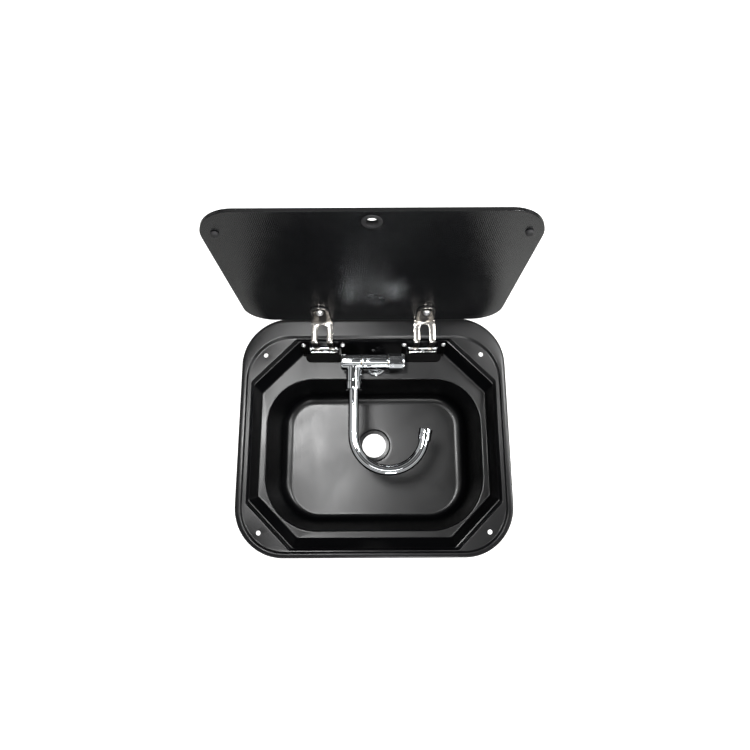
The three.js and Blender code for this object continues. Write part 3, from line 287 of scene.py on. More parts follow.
def basin_ring(half, front, rear, front_cut, rear_cut, z, arc=True, pocket=None, soft=3.0):
    """One closed line round the pressing, from its size and its corners, running leftwise."""
    pocket = rear if pocket is None else pocket
    low, high = front_cut - front, rear - rear_cut
    rear_x, front_x = half - rear_cut, half - front_cut
    trim = 0 if arc else soft
    points = []
    for sign in (1, -1):
        for y in evenly(low + trim, high - trim, side_steps)[::sign]:
            points.append(Vector((sign * half, y, z)))
        if sign == 1:
            stretch = ((half, high), (rear_x, rear), (rear_x, high), (0, 1), (-1, 0))
            points += corner_points(*map(Vector, stretch), arc, soft, z)
            for x in rear_line:
                spot = x / foot_corner * (rear_x - trim)
                points.append(Vector((spot, rear + (pocket - rear) * in_pocket(x), z)))
            stretch = ((-rear_x, rear), (-half, high), (-rear_x, high), (-1, 0), (0, -1))
            points += corner_points(*map(Vector, stretch), arc, soft, z)
        else:
            stretch = ((-half, low), (-front_x, -front), (-front_x, low), (0, -1), (1, 0))
            points += corner_points(*map(Vector, stretch), arc, soft, z)
            for x in evenly(trim - front_x, front_x - trim, side_steps):
                points.append(Vector((x, -front, z)))
            stretch = ((front_x, -front), (half, low), (front_x, low), (1, 0), (0, 1))
            points += corner_points(*map(Vector, stretch), arc, soft, z)
    return points


# Each line of the pressing, from the rim's edge inwards, with how far its bend reaches.
bead_width, bead_foot, land_top, pad_top = 4.5, 0.4, 4.4, 0.9
wall_head, wall_foot, ledge, bowl_floor = -5.4, -38.6, -40, -144
head_rear, foot_rear = 148.6, 136.2
rings, reaches = [], []
for run, rise in ((0, 0), (0.1, 0.45), (0.36, 0.85), (1, 1)):
    inset = run * bead_width
    rings.append(basin_ring(rim_width / 2 - inset, rim_depth / 2 - inset, rim_depth / 2 - inset,
                            rim_corner - inset, rim_corner - inset,
                            bead_foot + rise * (land_top - bead_foot)))
    reaches.append(2.0)
for run, fall, bend in ((0, 0, 1.0), (0.75, 0.86, 1.2), (1, 1, 0.8)):
    rings.append(basin_ring(201 - run * 2.4, 178 - run * 2.5, 155.5 - run * 4.3, 67, 70,
                            land_top - fall * (land_top - pad_top)))
    reaches.append(bend)
# The recess is octagonal: the pads' edge, the foot of its small step, the wall's head and foot,
# and the ledge.
octagons = (
    # half, front, rear, front diagonal, rear diagonal, height, pocket, bend
    (194.2, 174.5, 150.6, 300.6, 275.5, pad_top, None, 0.9),
    (190.8, 172.0, 149.0, 294.6, 269.5, -5.0, None, 0.5),
    (190.4, 171.6, head_rear, 292.1, 267.0, wall_head, None, 0.5),
    (185.5, 161.9, foot_rear, 283.1, 255.5, wall_foot, 148.0, 1.6),
    (184.1, 160.5, foot_rear - 1.4, 280.3, 252.7, ledge, 146.6, 1.6),
)
for half, front, rear, front_diagonal, rear_diagonal, z, pocket, bend in octagons:
    rings.append(basin_ring(half, front, rear, half + front - front_diagonal,
                            half + rear - rear_diagonal, z, arc=False, pocket=pocket))
    reaches.append(bend)
lip_round = 2
for out, down in ((1, 0), (0.3, 0.3), (0, 1)):
    grow = out * lip_round
    rings.append(basin_ring(175 + grow, 150.5 + grow, 92 + grow, 85 + grow, 74 + grow,
                            ledge - down * lip_round))
    reaches.append(2.0)
fillet_rise, fillet_run = 17, 15
for run, fall in ((0, 0), (0.16, 0.42), (0.5, 0.8), (1, 1)):
    inset = run * fillet_run
    rings.append(basin_ring(165.5 - inset, 142 - run * 9, 82 - run * 15.5, 69 - inset, 58 - inset,
                            bowl_floor + (1 - fall) * fillet_rise))
    reaches.append(9.0)
floor_line = rings[-1]
drain_y = -11
drain = (
    # radius, height, bend
    (33.1, -145.5, 2.0),
    (29.3, -145.8, 0.9),
    (28.3, -148.8, 0.8),
    (21.7, -149.4, 0.5),
)
for radius, z, bend in drain:
    circle = []
    for spot in floor_line:
        flat = Vector((spot.x, spot.y - drain_y)).normalized() * radius
        circle.append(Vector((flat.x, flat.y + drain_y, z)))
    rings.append(circle)
    reaches.append(bend)

columns = [bent(list(column), reaches) for column in zip(*rings)]
around, deep = len(columns), len(columns[0])
corners = [tuple(point * mm) for column in columns for point in column]
faces = []
for i in range(around):
    j = (i + 1) % around
    for k in range(deep - 1):
        faces.append((i * deep + k, j * deep + k, j * deep + k + 1, i * deep + k + 1))
pressing = bpy.data.meshes.new("pressing")
pressing.from_pydata(corners, [], faces)


def solid_mesh(bm, name):
    """The shape as a closed mesh in metres, its faces pointing out."""
    bmesh.ops.remove_doubles(bm, verts=bm.verts, dist=0.0005)
    bmesh.ops.dissolve_degenerate(bm, edges=bm.edges, dist=0.0005)
    bmesh.ops.recalc_face_normals(bm, faces=bm.faces)
    bmesh.ops.scale(bm, verts=bm.verts, vec=(mm, mm, mm))
    mesh = bpy.data.meshes.new(name)
    bm.to_mesh(mesh)
    bm.free()
    return mesh


def shaded(mesh, angle=32):
    """Smooth faces that break at edges sharper than the angle."""
    mesh.polygons.foreach_set("use_smooth", [True] * len(mesh.polygons))
    mesh.set_sharp_from_angle(angle=math.radians(angle))
    return mesh


def with_modifiers(mesh, *modifiers):
    """A plain copy of the mesh after its modifiers, each a kind and its settings."""
    carrier = bpy.data.objects.new("carrier", mesh)
    scene.collection.objects.link(carrier)
    for kind, settings in modifiers:
        modifier = carrier.modifiers.new(kind, kind)
        for name, value in settings.items():
            setattr(modifier, name, value)
    evaluated = carrier.evaluated_get(bpy.context.evaluated_depsgraph_get())
    result = bpy.data.meshes.new_from_object(evaluated)
    bpy.data.objects.remove(carrier)
    return result


def boolean(mesh, other, operation):
    """Two closed meshes joined or cut."""
    tool = bpy.data.objects.new("tool", other)
    scene.collection.objects.link(tool)
    result = with_modifiers(mesh, ("BOOLEAN", {
        "object": tool, "operation": operation, "solver": "EXACT"}))
    bpy.data.objects.remove(tool)
    return result


def add_turned(bm, profile, place=Matrix(), closed=False, steps=72, sides=0, flat=0):
    """Turns (radius, height) pairs about Z. A pair with a third value is cut to a polygon of so
    many sides, whose flats lie that far from the axis."""
    rows = []
    for k in range(steps):
        angle = 2 * math.pi * k / steps
        limit = math.inf
        if sides:
            sector = 2 * math.pi / sides
            limit = flat / math.cos(angle % sector - sector / 2)
        row = []
        for point in profile:
            radius = min(point[0], limit) if len(point) > 2 else point[0]
            spot = Vector((radius * math.cos(angle), radius * math.sin(angle), point[1]))
            row.append(bm.verts.new(place @ spot))
        rows.append(row)
    last = len(profile) if closed else len(profile) - 1
    for k in range(steps):
        here, there = rows[k], rows[(k + 1) % steps]
        for i in range(last):
            j = (i + 1) % len(profile)
            bm.faces.new((here[i], there[i], there[j], here[j]))


# The sloping rear wall beside a hinge: across, up the wall, and out of it.
wall_up = Vector((0, head_rear - foot_rear, wall_head - wall_foot)).normalized()
wall_out = Vector((1, 0, 0)).cross(wall_up)
wall = Matrix(((1, wall_up.x, wall_out.x, 0), (0, wall_up.y, wall_out.y, foot_rear),
               (0, wall_up.z, wall_out.z, wall_foot), (0, 0, 0, 1)))
wall_screw_x, wall_screw_rise = 32, 29.5
pad_hole_x, pad_hole_rear, pad_hole_front = 172.6, 123.8, -149
pad_hole_radius, screw_hole_radius, tap_hole_radius = 3.5, 2.3, 11.5
tap_x, tap_y = 3, 115.8


def add_punch(bm, radius, place, top=2, steps=40):
    """A cutter for a round hole through the sheet at that place."""
    add_turned(bm, [(0, -3), (radius, -3), (radius, top), (0, top)], place, steps=steps)


cutters = bmesh.new()
for side in (-1, 1):
    for y in (pad_hole_rear, pad_hole_front):
        add_punch(cutters, pad_hole_radius, Matrix.Translation((side * pad_hole_x, y, 0)), top=4)
    for end in (-1, 1):
        spot = Vector((side * hinge_x + end * wall_screw_x, wall_screw_rise, 0))
        add_punch(cutters, screw_hole_radius, wall @ Matrix.Translation(spot), steps=24)
add_punch(cutters, tap_hole_radius, Matrix.Translation((tap_x, tap_y, ledge)))
thick = with_modifiers(pressing, ("SOLIDIFY", {"thickness": sheet * mm, "offset": -1.0}))
basin_mesh = boolean(thick, solid_mesh(cutters, "cutters"), "DIFFERENCE")


def add_piece(name, mesh, material, body, slot, *nodes):
    """A finished piece that moves with a body, in place of CAD nodes."""
    piece = bpy.data.objects.new(name, mesh)
    scene.collection.objects.link(piece)
    mesh.materials.clear()
    mesh.materials.append(material)
    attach(piece, body)
    if nodes:
        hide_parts(*nodes)


# The last two numbers set the reflection on the steep walls, turned down as painted shade, and on
# the flats.
powder_coat = satin_black("black_powder_coat", "#050506", "#08080a", 0.28, 0.33, 0.06, 0.44)
add_piece("pressed_basin", shaded(basin_mesh, 40), powder_coat, "basin", "black_steel",
          "sink_bowl")


# ---------------------------------------------------------------- rim seal
# A moulded strip of EPDM rubber under the rim that keeps water off the worktop's edge. It is
# matt and dusty grey-black, with the fine pebble of its mould.

def moulded_rubber(name, tint, shade):
    """Black rubber with the pebble of its mould, and greyer where it has bloomed."""
    material, tree, at = new_material(name)
    pebble_size = 0.9 * mm
    pebble = add_node(tree, "ShaderNodeTexNoise", {
        "Vector": at, "Scale": 1 / pebble_size, "Detail": 3.0})
    bloom_size = 14 * mm
    bloom = add_node(tree, "ShaderNodeTexNoise", {
        "Vector": at, "Scale": 1 / bloom_size, "Detail": 4.0})
    tone = add_node(tree, "ShaderNodeMix", {
        0: bloom.outputs["Fac"], 6: colour(tint), 7: colour(shade)}, data_type="RGBA")
    rough = add_node(tree, "ShaderNodeMapRange", {
        "Value": bloom.outputs["Fac"], "To Min": 0.6, "To Max": 0.85})
    bump = add_node(tree, "ShaderNodeBump", {
        "Height": pebble.outputs["Fac"], "Strength": 0.25, "Distance": 0.1 * mm})
    skin = add_node(tree, "ShaderNodeBsdfPrincipled", {
        "Base Color": tone.outputs[2], "Roughness": rough.outputs[0], "IOR": 1.52,
        "Normal": bump.outputs[0]})
    add_node(tree, "ShaderNodeOutputMaterial", {"Surface": skin.outputs[0]})
    return material


epdm = moulded_rubber("epdm_rubber", "#141415", "#232325")


def dress(material, *nodes):
    """A material for CAD nodes whose own shape is shown."""
    for node in nodes:
        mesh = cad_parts[node].data
        mesh.materials.clear()
        mesh.materials.append(material)


dress(epdm, "rim_seal")


# ---------------------------------------------------------------- hinge feet
# A folded steel foot on the ledge behind each side of the tap, with an upright on each cheek of
# the wall, dipped in a dull black coat that mirrors next to nothing.

def softened(node, name, width):
    """A copy of a CAD solid with its edges broken, as a stamped or folded piece has them."""
    flat_within, edge_from = math.radians(1), math.radians(42)
    bm = bmesh.new()
    bm.from_mesh(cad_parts[node].data)
    bmesh.ops.remove_doubles(bm, verts=bm.verts, dist=0.01 * mm)
    bmesh.ops.dissolve_degenerate(bm, edges=bm.edges, dist=0.01 * mm)
    bmesh.ops.dissolve_limit(bm, angle_limit=flat_within, verts=bm.verts, edges=bm.edges)
    bmesh.ops.recalc_face_normals(bm, faces=bm.faces)
    mesh = bpy.data.meshes.new(name)
    bm.to_mesh(mesh)
    bm.free()
    return with_modifiers(mesh, ("BEVEL", {
        "width": width * mm, "segments": 2, "limit_method": "ANGLE",
        "angle_limit": edge_from, "use_clamp_overlap": True}))


# Its last two numbers likewise turn the reflection down on steep faces as painted shade.
hinge_paint = satin_black("matt_black_dip_coat", "#040404", "#070707", 0.6, 0.75, 0.02, 0.05)
for side in ("left", "right"):
    foot = softened(f"hinge_base_{side}", "hinge_foot", 0.35)
    add_piece(f"hinge_foot_{side}", shaded(foot), hinge_paint, "basin", "black_paint",
              f"hinge_base_{side}")


# ---------------------------------------------------------------- hinge brackets
# A polished stainless tray with two ears that hold the pin, riveted to each foot. It was stamped
# from sheet and tumbled, so its edges are soft and fine lines run along it.

def polished_steel(name, tint, shade, along, smoothest=0.1, roughest=0.2):
    """Stainless steel polished on a wheel, with hairlines along one axis."""
    material, tree, at = new_material(name)
    # Real hairlines are about 0.05 mm apart; they are drawn at 0.25 mm so that they show.
    hair, length = 1 / (0.25 * mm), 1 / (9 * mm)
    stretch = add_node(tree, "ShaderNodeMapping", {
        "Vector": at,
        "Scale": [length if axis == along else hair for axis in "XYZ"]})
    lines = add_node(tree, "ShaderNodeTexNoise", {
        "Vector": stretch.outputs[0], "Scale": 1.0, "Detail": 2.0})
    cloud_size = 12 * mm
    cloud = add_node(tree, "ShaderNodeTexNoise", {
        "Vector": at, "Scale": 1 / cloud_size, "Detail": 4.0})
    tone = add_node(tree, "ShaderNodeMix", {
        0: cloud.outputs["Fac"], 6: colour(tint), 7: colour(shade)}, data_type="RGBA")
    rough = add_node(tree, "ShaderNodeMapRange", {
        "Value": lines.outputs["Fac"], "From Min": 0.3, "From Max": 0.7,
        "To Min": smoothest, "To Max": roughest})
    bump = add_node(tree, "ShaderNodeBump", {
        "Height": lines.outputs["Fac"], "Strength": 0.06, "Distance": 0.05 * mm})
    metal = add_node(tree, "ShaderNodeBsdfPrincipled", {
        "Base Color": tone.outputs[2], "Metallic": 1.0, "Roughness": rough.outputs[0],
        "Normal": bump.outputs[0]})
    add_node(tree, "ShaderNodeOutputMaterial", {"Surface": metal.outputs[0]})
    return material


steel_across = polished_steel("stainless_tray", "#cfd1d3", "#dcdddf", "X")
for side in ("left", "right"):
    tray = softened(f"hinge_bracket_{side}", "hinge_tray", 0.3)
    add_piece(f"hinge_tray_{side}", shaded(tray), steel_across, "basin", "polished_steel",
              f"hinge_bracket_{side}")


# ---------------------------------------------------------------- rivets, wall screws and nuts
# Each tray has one steel rivet. Four pan-head screws with a cross recess hold the feet's uprights
# to the rear wall, with a hexagon nut behind the sheet on each.

def rounded(profile, radius, closed=False, steps=4):
    """A profile with its corners rounded. A third value in a corner is kept."""
    count = len(profile)
    result = []
    for i, point in enumerate(profile):
        if not closed and i in (0, count - 1):
            result.append(point)
            continue
        here = Vector(point[:2])
        before = Vector(profile[i - 1][:2]) - here
        after = Vector(profile[(i + 1) % count][:2]) - here
        reach = min(radius, before.length * 0.45, after.length * 0.45)
        start = here + before.normalized() * reach
        end = here + after.normalized() * reach
        for k in range(steps + 1):
            t = k / steps
            spot = start * (1 - t) ** 2 + here * (2 * t * (1 - t)) + end * t ** 2
            result.append((spot.x, spot.y) + tuple(point[2:]))
    return result


def turned(name, profile, radius, place=Matrix(), closed=False, **polygon):
    """A turned solid, its corners rounded to the radius."""
    bm = bmesh.new()
    add_turned(bm, rounded(profile, radius, closed), place, closed, **polygon)
    return solid_mesh(bm, name)


def cross_recess(name, size, top, depth, place):
    """A cutter for the cross in a screw's head: a plus sign that narrows downwards."""
    far, near = size / 2, size * 0.15
    plus = [(near, near), (near, far), (-near, far), (-near, near), (-far, near), (-far, -near),
            (-near, -near), (-near, -far), (near, -far), (near, -near), (far, -near), (far, near)]
    bm = bmesh.new()
    loops = [[bm.verts.new((x * shrink, y * shrink, z)) for x, y in plus]
             for shrink, z in ((1, top + 1), (1, top), (0.45, top - depth))]
    for low, high in zip(loops[1:], loops):
        for i in range(12):
            j = (i + 1) % 12
            bm.faces.new((low[i], low[j], high[j], high[i]))
    bm.faces.new(loops[0])
    bm.faces.new(loops[-1])
    bmesh.ops.transform(bm, matrix=place, verts=bm.verts)
    return solid_mesh(bm, name)


def fixings_tree():
    """Copies a fixing from the middle of the sink to both ends of each hinge."""
    group = bpy.data.node_groups.new("fixings_on_the_wall", "GeometryNodeTree")
    for name, kind in (("Fixing", "NodeSocketGeometry"), ("Hinge spacing", "NodeSocketFloat"),
                       ("Screw spacing", "NodeSocketFloat"), ("Finish", "NodeSocketMaterial")):
        group.interface.new_socket(name, in_out="INPUT", socket_type=kind)
    group.interface.new_socket("Fixings", in_out="OUTPUT", socket_type="NodeSocketGeometry")
    given = add_node(group, "NodeGroupInput")

    def pair(spacing):
        back = add_node(group, "ShaderNodeMath", {0: spacing, 1: -0.5}, operation="MULTIPLY")
        start = add_node(group, "ShaderNodeCombineXYZ", {"X": back.outputs[0]})
        step = add_node(group, "ShaderNodeCombineXYZ", {"X": spacing})
        return add_node(group, "GeometryNodeMeshLine", {
            "Count": 2, "Start Location": start.outputs[0], "Offset": step.outputs[0]})

    inner = add_node(group, "GeometryNodeInstanceOnPoints", {
        "Points": pair(given.outputs["Screw spacing"]).outputs[0],
        "Instance": given.outputs["Fixing"]})
    outer = add_node(group, "GeometryNodeInstanceOnPoints", {
        "Points": pair(given.outputs["Hinge spacing"]).outputs[0],
        "Instance": inner.outputs[0]})
    real = add_node(group, "GeometryNodeRealizeInstances", {0: outer.outputs[0]})
    painted = add_node(group, "GeometryNodeSetMaterial", {
        "Geometry": real.outputs[0], "Material": given.outputs["Finish"]})
    add_node(group, "NodeGroupOutput", {0: painted.outputs[0]})
    return group


def grown(mesh, group, **inputs):
    """The plain mesh that a Geometry Nodes tree makes of a mesh."""
    carrier = bpy.data.objects.new("carrier", mesh)
    modifier = carrier.modifiers.new("grow", "NODES")
    modifier.node_group = group
    for item in group.interface.items_tree:
        if item.in_out == "INPUT" and item.name.replace(" ", "_") in inputs:
            modifier[item.identifier] = inputs[item.name.replace(" ", "_")]
    scene.collection.objects.link(carrier)
    evaluated = carrier.evaluated_get(bpy.context.evaluated_depsgraph_get())
    result = bpy.data.meshes.new_from_object(evaluated)
    bpy.data.objects.remove(carrier)
    return result


pin_y, pin_z = 143, -27.8
plate_bottom, tray_floor = -39.7, -34.4
for side, sign in (("left", -1), ("right", 1)):
    rivet = turned("rivet", [
        (0, plate_bottom + 0.3), (1.8, plate_bottom + 0.3), (1.8, tray_floor + 0.3),
        (3.2, tray_floor + 0.3), (2.9, tray_floor + 1.2), (1.6, tray_floor + 1.7),
        (0, tray_floor + 1.75)], 0.3, Matrix.Translation((sign * hinge_x, pin_y, 0)))
    add_piece(f"tray_rivet_{side}", shaded(rivet), steel_across, "basin", "polished_steel",
              f"hinge_rivet_{side}")

screw_steel = polished_steel("zinc_plated_screw", "#dedfe0", "#ebebec", "Z", 0.24, 0.34)
middle = wall @ Matrix.Translation((0, wall_screw_rise, 0))
screw = turned("wall_screw", [
    (0, -9), (1.5, -9), (2, -8.2), (2, 3), (4, 3), (3.9, 3.6), (3.3, 4.5), (2.2, 5.2), (1, 5.4),
    (0, 5.4)], 0.3, middle, steps=48)
screw = boolean(screw, cross_recess("cross", 5.8, 5.5, 2.4, middle), "DIFFERENCE")
nut = turned("wall_nut", [
    (2.3, -4.4), (3.5, -4.4), (4.04, -4.0, 1), (4.04, -1.6, 1), (3.5, -1.2), (2.3, -1.2)],
    0.15, middle @ Matrix.Rotation(math.radians(30), 4, "Z"), closed=True, steps=72, sides=6,
    flat=3.5)
wall_fixings = fixings_tree()
for name, mesh, kind in (("wall_screws", screw, "hinge_screw"), ("wall_nuts", nut, "hinge_nut")):
    four = grown(mesh, wall_fixings, Hinge_spacing=2 * hinge_x * mm,
                 Screw_spacing=2 * wall_screw_x * mm, Finish=screw_steel)
    add_piece(name, shaded(four), screw_steel, "basin", "polished_steel",
              *[f"{kind}_{side}_{end}" for side in ("left", "right") for end in ("outer", "inner")])


# ---------------------------------------------------------------- hinge pins
# A headed steel pin runs through the ears of each tray and the knuckle of the strap, its far end
# peened over. It turns freely.

pin_radius, pin_head, pin_reach = 2.3, 4, 24.2
to_right = Matrix.Rotation(math.pi / 2, 4, "Y")
for side, sign in (("left", -1), ("right", 1)):
    pin = turned("hinge_pin", [
        (0, -pin_reach), (pin_head - 0.6, -pin_reach), (pin_head, 0.6 - pin_reach),
        (pin_head, 1.4 - pin_reach), (pin_radius, 1.4 - pin_reach),
        (pin_radius, pin_reach - 1.4), (pin_head, pin_reach - 1.4),
        (pin_head - 0.3, pin_reach - 0.6), (pin_radius + 0.1, pin_reach), (0, pin_reach)], 0.3,
        Matrix.Translation((sign * hinge_x, pin_y, pin_z)) @ to_right, steps=48)
    add_piece(f"hinge_pin_turned_{side}", shaded(pin), steel_across, f"{side}_hinge_pin",
              "polished_steel", f"hinge_pin_{side}")


# ---------------------------------------------------------------- glass lid
# Toughened 5 mm glass, smoked through, with ground and polished edges, a finger hole near its
# free edge and two holes for the clamps. It lies in the frame of the lid, shut, and is turned up.

open_angle = math.radians(96)
open_lid = Matrix.Translation((0, pin_y, pin_z)) @ Matrix.Rotation(-open_angle, 4, "X")
glass_low, glass_top = 33, 38
near_edge, free_edge = -41.8, -317.4
finger_y, finger_radius = free_edge + 17.6, 10
clamp_y, clamp_hole_radius = near_edge - 34, 4.4


def smoked_glass():
    """Toughened glass tinted nearly black, with a fine screen of dots fired into its face. The
    screen breaks its mirror image into a soft blur and shows as a faint weave near the ends."""
    material, tree, at = new_material("smoked_glass")
    flat = add_node(tree, "ShaderNodeMapping", {
        "Vector": at, "Rotation": (open_angle, 0, 0)})
    # The real dots are about 1 mm apart; they are drawn at 2.2 mm so that they show.
    pitch = 2.2 * mm
    dots = add_node(tree, "ShaderNodeTexVoronoi", {
        "Vector": flat.outputs[0], "Scale": 1 / pitch, "Randomness": 0.0},
        voronoi_dimensions="2D")
    wipe_size = 60 * mm
    wipe = add_node(tree, "ShaderNodeTexNoise", {
        "Vector": at, "Scale": 1 / wipe_size, "Detail": 5.0,
        "Roughness": 0.6, "Distortion": 1.5})
    rough = add_node(tree, "ShaderNodeMapRange", {
        "Value": wipe.outputs["Fac"], "From Min": 0.35, "From Max": 0.75,
        "To Min": 0.2, "To Max": 0.28})
    tone = add_node(tree, "ShaderNodeMix", {
        0: dots.outputs["Distance"], 6: colour("#151618"), 7: colour("#090a0b")},
        data_type="RGBA")
    bump = add_node(tree, "ShaderNodeBump", {
        "Height": dots.outputs["Distance"], "Strength": 0.5, "Distance": 0.28 * mm})
    pane = add_node(tree, "ShaderNodeBsdfPrincipled", {
        "Base Color": tone.outputs[2], "Roughness": rough.outputs[0], "IOR": 1.52,
        "Specular IOR Level": 0.36, "Transmission Weight": 0.6, "Normal": bump.outputs[0]})
    add_node(tree, "ShaderNodeOutputMaterial", {"Surface": pane.outputs[0]})
    return material


def sheet_outline(points_lists, low, high, edge_round):
    """A flat plate from closed outlines, the first outside and the others holes, with its edges
    rounded."""
    curve = bpy.data.curves.new("outline", "CURVE")
    curve.dimensions = "2D"
    curve.fill_mode = "BOTH"
    curve.extrude = (high - low) / 2 - edge_round
    curve.bevel_depth = edge_round
    curve.bevel_resolution = 2
    curve.offset = -edge_round
    for points in points_lists:
        line = curve.splines.new("POLY")
        line.points.add(len(points) - 1)
        for spot, (x, y) in zip(line.points, points):
            spot.co = (x, y, 0, 1)
        line.use_cyclic_u = True
    carrier = bpy.data.objects.new("outline", curve)
    scene.collection.objects.link(carrier)
    evaluated = carrier.evaluated_get(bpy.context.evaluated_depsgraph_get())
    mesh = bpy.data.meshes.new_from_object(evaluated)
    bpy.data.objects.remove(carrier)
    bm = bmesh.new()
    bm.from_mesh(mesh)
    bmesh.ops.translate(bm, vec=(0, 0, (low + high) / 2), verts=bm.verts)
    return bm


def arc_points(x, y, radius, start, end, steps):
    """Points on an arc, from one angle in degrees to another."""
    return [(x + radius * math.cos(math.radians(a)), y + radius * math.sin(math.radians(a)))
            for a in evenly(start, end, steps)]


half_glass, near_round, free_round = 198.3, 42, 48
outline = (
    arc_points(half_glass - near_round, near_edge - near_round, near_round, 0, 90, 32)
    + arc_points(near_round - half_glass, near_edge - near_round, near_round, 90, 180, 32)
    + arc_points(free_round - half_glass, free_edge + free_round, free_round, 180, 270, 32)
    + arc_points(half_glass - free_round, free_edge + free_round, free_round, 270, 360, 32))
holes = [arc_points(0, finger_y, finger_radius, 0, 350, 47)]
holes += [arc_points(sign * hinge_x, clamp_y, clamp_hole_radius, 0, 345, 23) for sign in (-1, 1)]
ground_edge = 0.6
pane = sheet_outline([outline] + holes, glass_low, glass_top, ground_edge)
bmesh.ops.transform(pane, matrix=open_lid, verts=pane.verts)
add_piece("smoked_glass_lid", shaded(solid_mesh(pane, "pane"), 12), smoked_glass(), "lid",
          "glass", "glass_lid")


# ---------------------------------------------------------------- finger grommet
# A soft black rubber ring pressed into the finger hole; its lips fold over both faces of the
# glass.

ring_hole, lip_radius, lip, play = 7.4, 12.2, 1.6, 0.3
grommet = turned("grommet", [
    (ring_hole, glass_low - lip), (lip_radius - 0.8, glass_low - lip),
    (lip_radius, glass_low - play), (finger_radius - play, glass_low - play),
    (finger_radius - play, glass_top + play), (lip_radius, glass_top + play),
    (lip_radius - 0.8, glass_top + lip), (ring_hole, glass_top + lip)], 0.6,
    open_lid @ Matrix.Translation((0, finger_y, 0)), closed=True)
add_piece("finger_ring", shaded(grommet, 50), epdm, "lid", "rubber", "finger_grommet")


# ---------------------------------------------------------------- hinge straps
# A gooseneck strap of 2 mm stainless steel on each hinge: a knuckle rolled round the pin, two
# legs, a bend over the rear land, and a round tab against the glass. Polished bright.

strap_steel = polished_steel("stainless_strap", "#b5b1ac", "#c4c0ba", "Z", 0.15, 0.26)
for side in ("left", "right"):
    strap = softened(f"hinge_arm_{side}", "hinge_strap", 0.4)
    add_piece(f"hinge_strap_{side}", shaded(strap, 40), strap_steel, "lid", "polished_steel",
              f"hinge_arm_{side}")


# ---------------------------------------------------------------- glass clamps
# Each strap is clamped by a pan-head machine screw with a cross recess in front and a domed cap
# nut on a rubber washer behind, with a soft pad between the strap and the glass.

seat, bolt_radius, bolt_end = 29.1, 3, 45.6
washer_bore, washer_radius, washer_top = 3.3, 9.5, 39.5
for side, sign in (("left", -1), ("right", 1)):
    at_clamp = open_lid @ Matrix.Translation((sign * hinge_x, clamp_y, 0))
    bolt = turned("clamp_bolt", [
        (0, seat - 4.3), (1.6, seat - 4.2), (3.1, seat - 3.7), (4.4, seat - 2.8),
        (5.2, seat - 1.6), (5.5, seat - 0.4), (5.5, seat), (bolt_radius, seat),
        (bolt_radius, bolt_end - 0.6), (bolt_radius - 0.6, bolt_end), (0, bolt_end)], 0.6,
        at_clamp)
    face = at_clamp @ Matrix.Rotation(math.pi, 4, "X")
    bolt = boolean(bolt, cross_recess("cross", 6.8, 4.4 - seat, 2.8, face), "DIFFERENCE")
    add_piece(f"clamp_bolt_{side}", shaded(bolt), screw_steel, "lid", "polished_steel",
              f"lid_bolt_{side}")
    washer = turned("clamp_washer", [
        (washer_bore, glass_top + play), (washer_radius, glass_top + play),
        (washer_radius, washer_top), (washer_bore, washer_top)], 0.4, at_clamp, closed=True)
    add_piece(f"clamp_washer_{side}", shaded(washer), epdm, "lid", "rubber",
              f"lid_washer_{side}")
    cap = turned("clamp_cap_nut", [
        (washer_bore, 39.8), (6.5, 39.8), (7.5, 40.5, 1), (7.5, 43.0, 1), (6.4, 43.7), (6.1, 44.6),
        (4.9, 46.0), (2.8, 46.7), (0, 46.8)], 0.5, at_clamp, steps=72, sides=6, flat=6.5)
    add_piece(f"clamp_cap_nut_{side}", shaded(cap), steel_across, "lid", "polished_steel",
              f"lid_cap_nut_{side}")
    pad = softened(f"glass_pad_{side}", "clamp_pad", 0.25)
    add_piece(f"clamp_pad_{side}", shaded(pad), epdm, "lid", "rubber", f"glass_pad_{side}")


# ---------------------------------------------------------------- lid bumpers
# Two rubber buttons near the glass's free corners that rest on the front pads when it is shut.

bumper_x, bumper_y = 180, -279
for side, sign in (("left", -1), ("right", 1)):
    bumper = turned("bumper", [
        (0, 29), (4, 29), (4.6, 31.2), (5, 32.7), (0, 32.7)], 0.8,
        open_lid @ Matrix.Translation((sign * bumper_x, bumper_y, 0)), steps=48)
    add_piece(f"rubber_bumper_{side}", shaded(bumper), epdm, "lid", "rubber",
              f"lid_bumper_{side}")


# ---------------------------------------------------------------- tap body
# A chrome-plated brass casting: a horizontal barrel on a short column, turned and buffed before
# plating. Chrome plate mirrors almost all light, a little colder than steel.

def chrome_plate(name, tint, shade, smoothest, roughest):
    """Bright nickel-chrome over buffed brass: a mirror with a trace of the buffing in it."""
    material, tree, at = new_material(name)
    wave_size = 22 * mm
    wave = add_node(tree, "ShaderNodeTexNoise", {
        "Vector": at, "Scale": 1 / wave_size, "Detail": 1.0})
    haze_size = 7 * mm
    haze = add_node(tree, "ShaderNodeTexNoise", {
        "Vector": at, "Scale": 1 / haze_size, "Detail": 5.0})
    tone = add_node(tree, "ShaderNodeMix", {
        0: haze.outputs["Fac"], 6: colour(tint), 7: colour(shade)}, data_type="RGBA")
    rough = add_node(tree, "ShaderNodeMapRange", {
        "Value": haze.outputs["Fac"], "From Min": 0.35, "From Max": 0.7,
        "To Min": smoothest, "To Max": roughest})
    bump = add_node(tree, "ShaderNodeBump", {
        "Height": wave.outputs["Fac"], "Strength": 0.1, "Distance": 0.3 * mm})
    metal = add_node(tree, "ShaderNodeBsdfPrincipled", {
        "Base Color": tone.outputs[2], "Metallic": 1.0, "Roughness": rough.outputs[0],
        "Normal": bump.outputs[0]})
    add_node(tree, "ShaderNodeOutputMaterial", {"Surface": metal.outputs[0]})
    return material


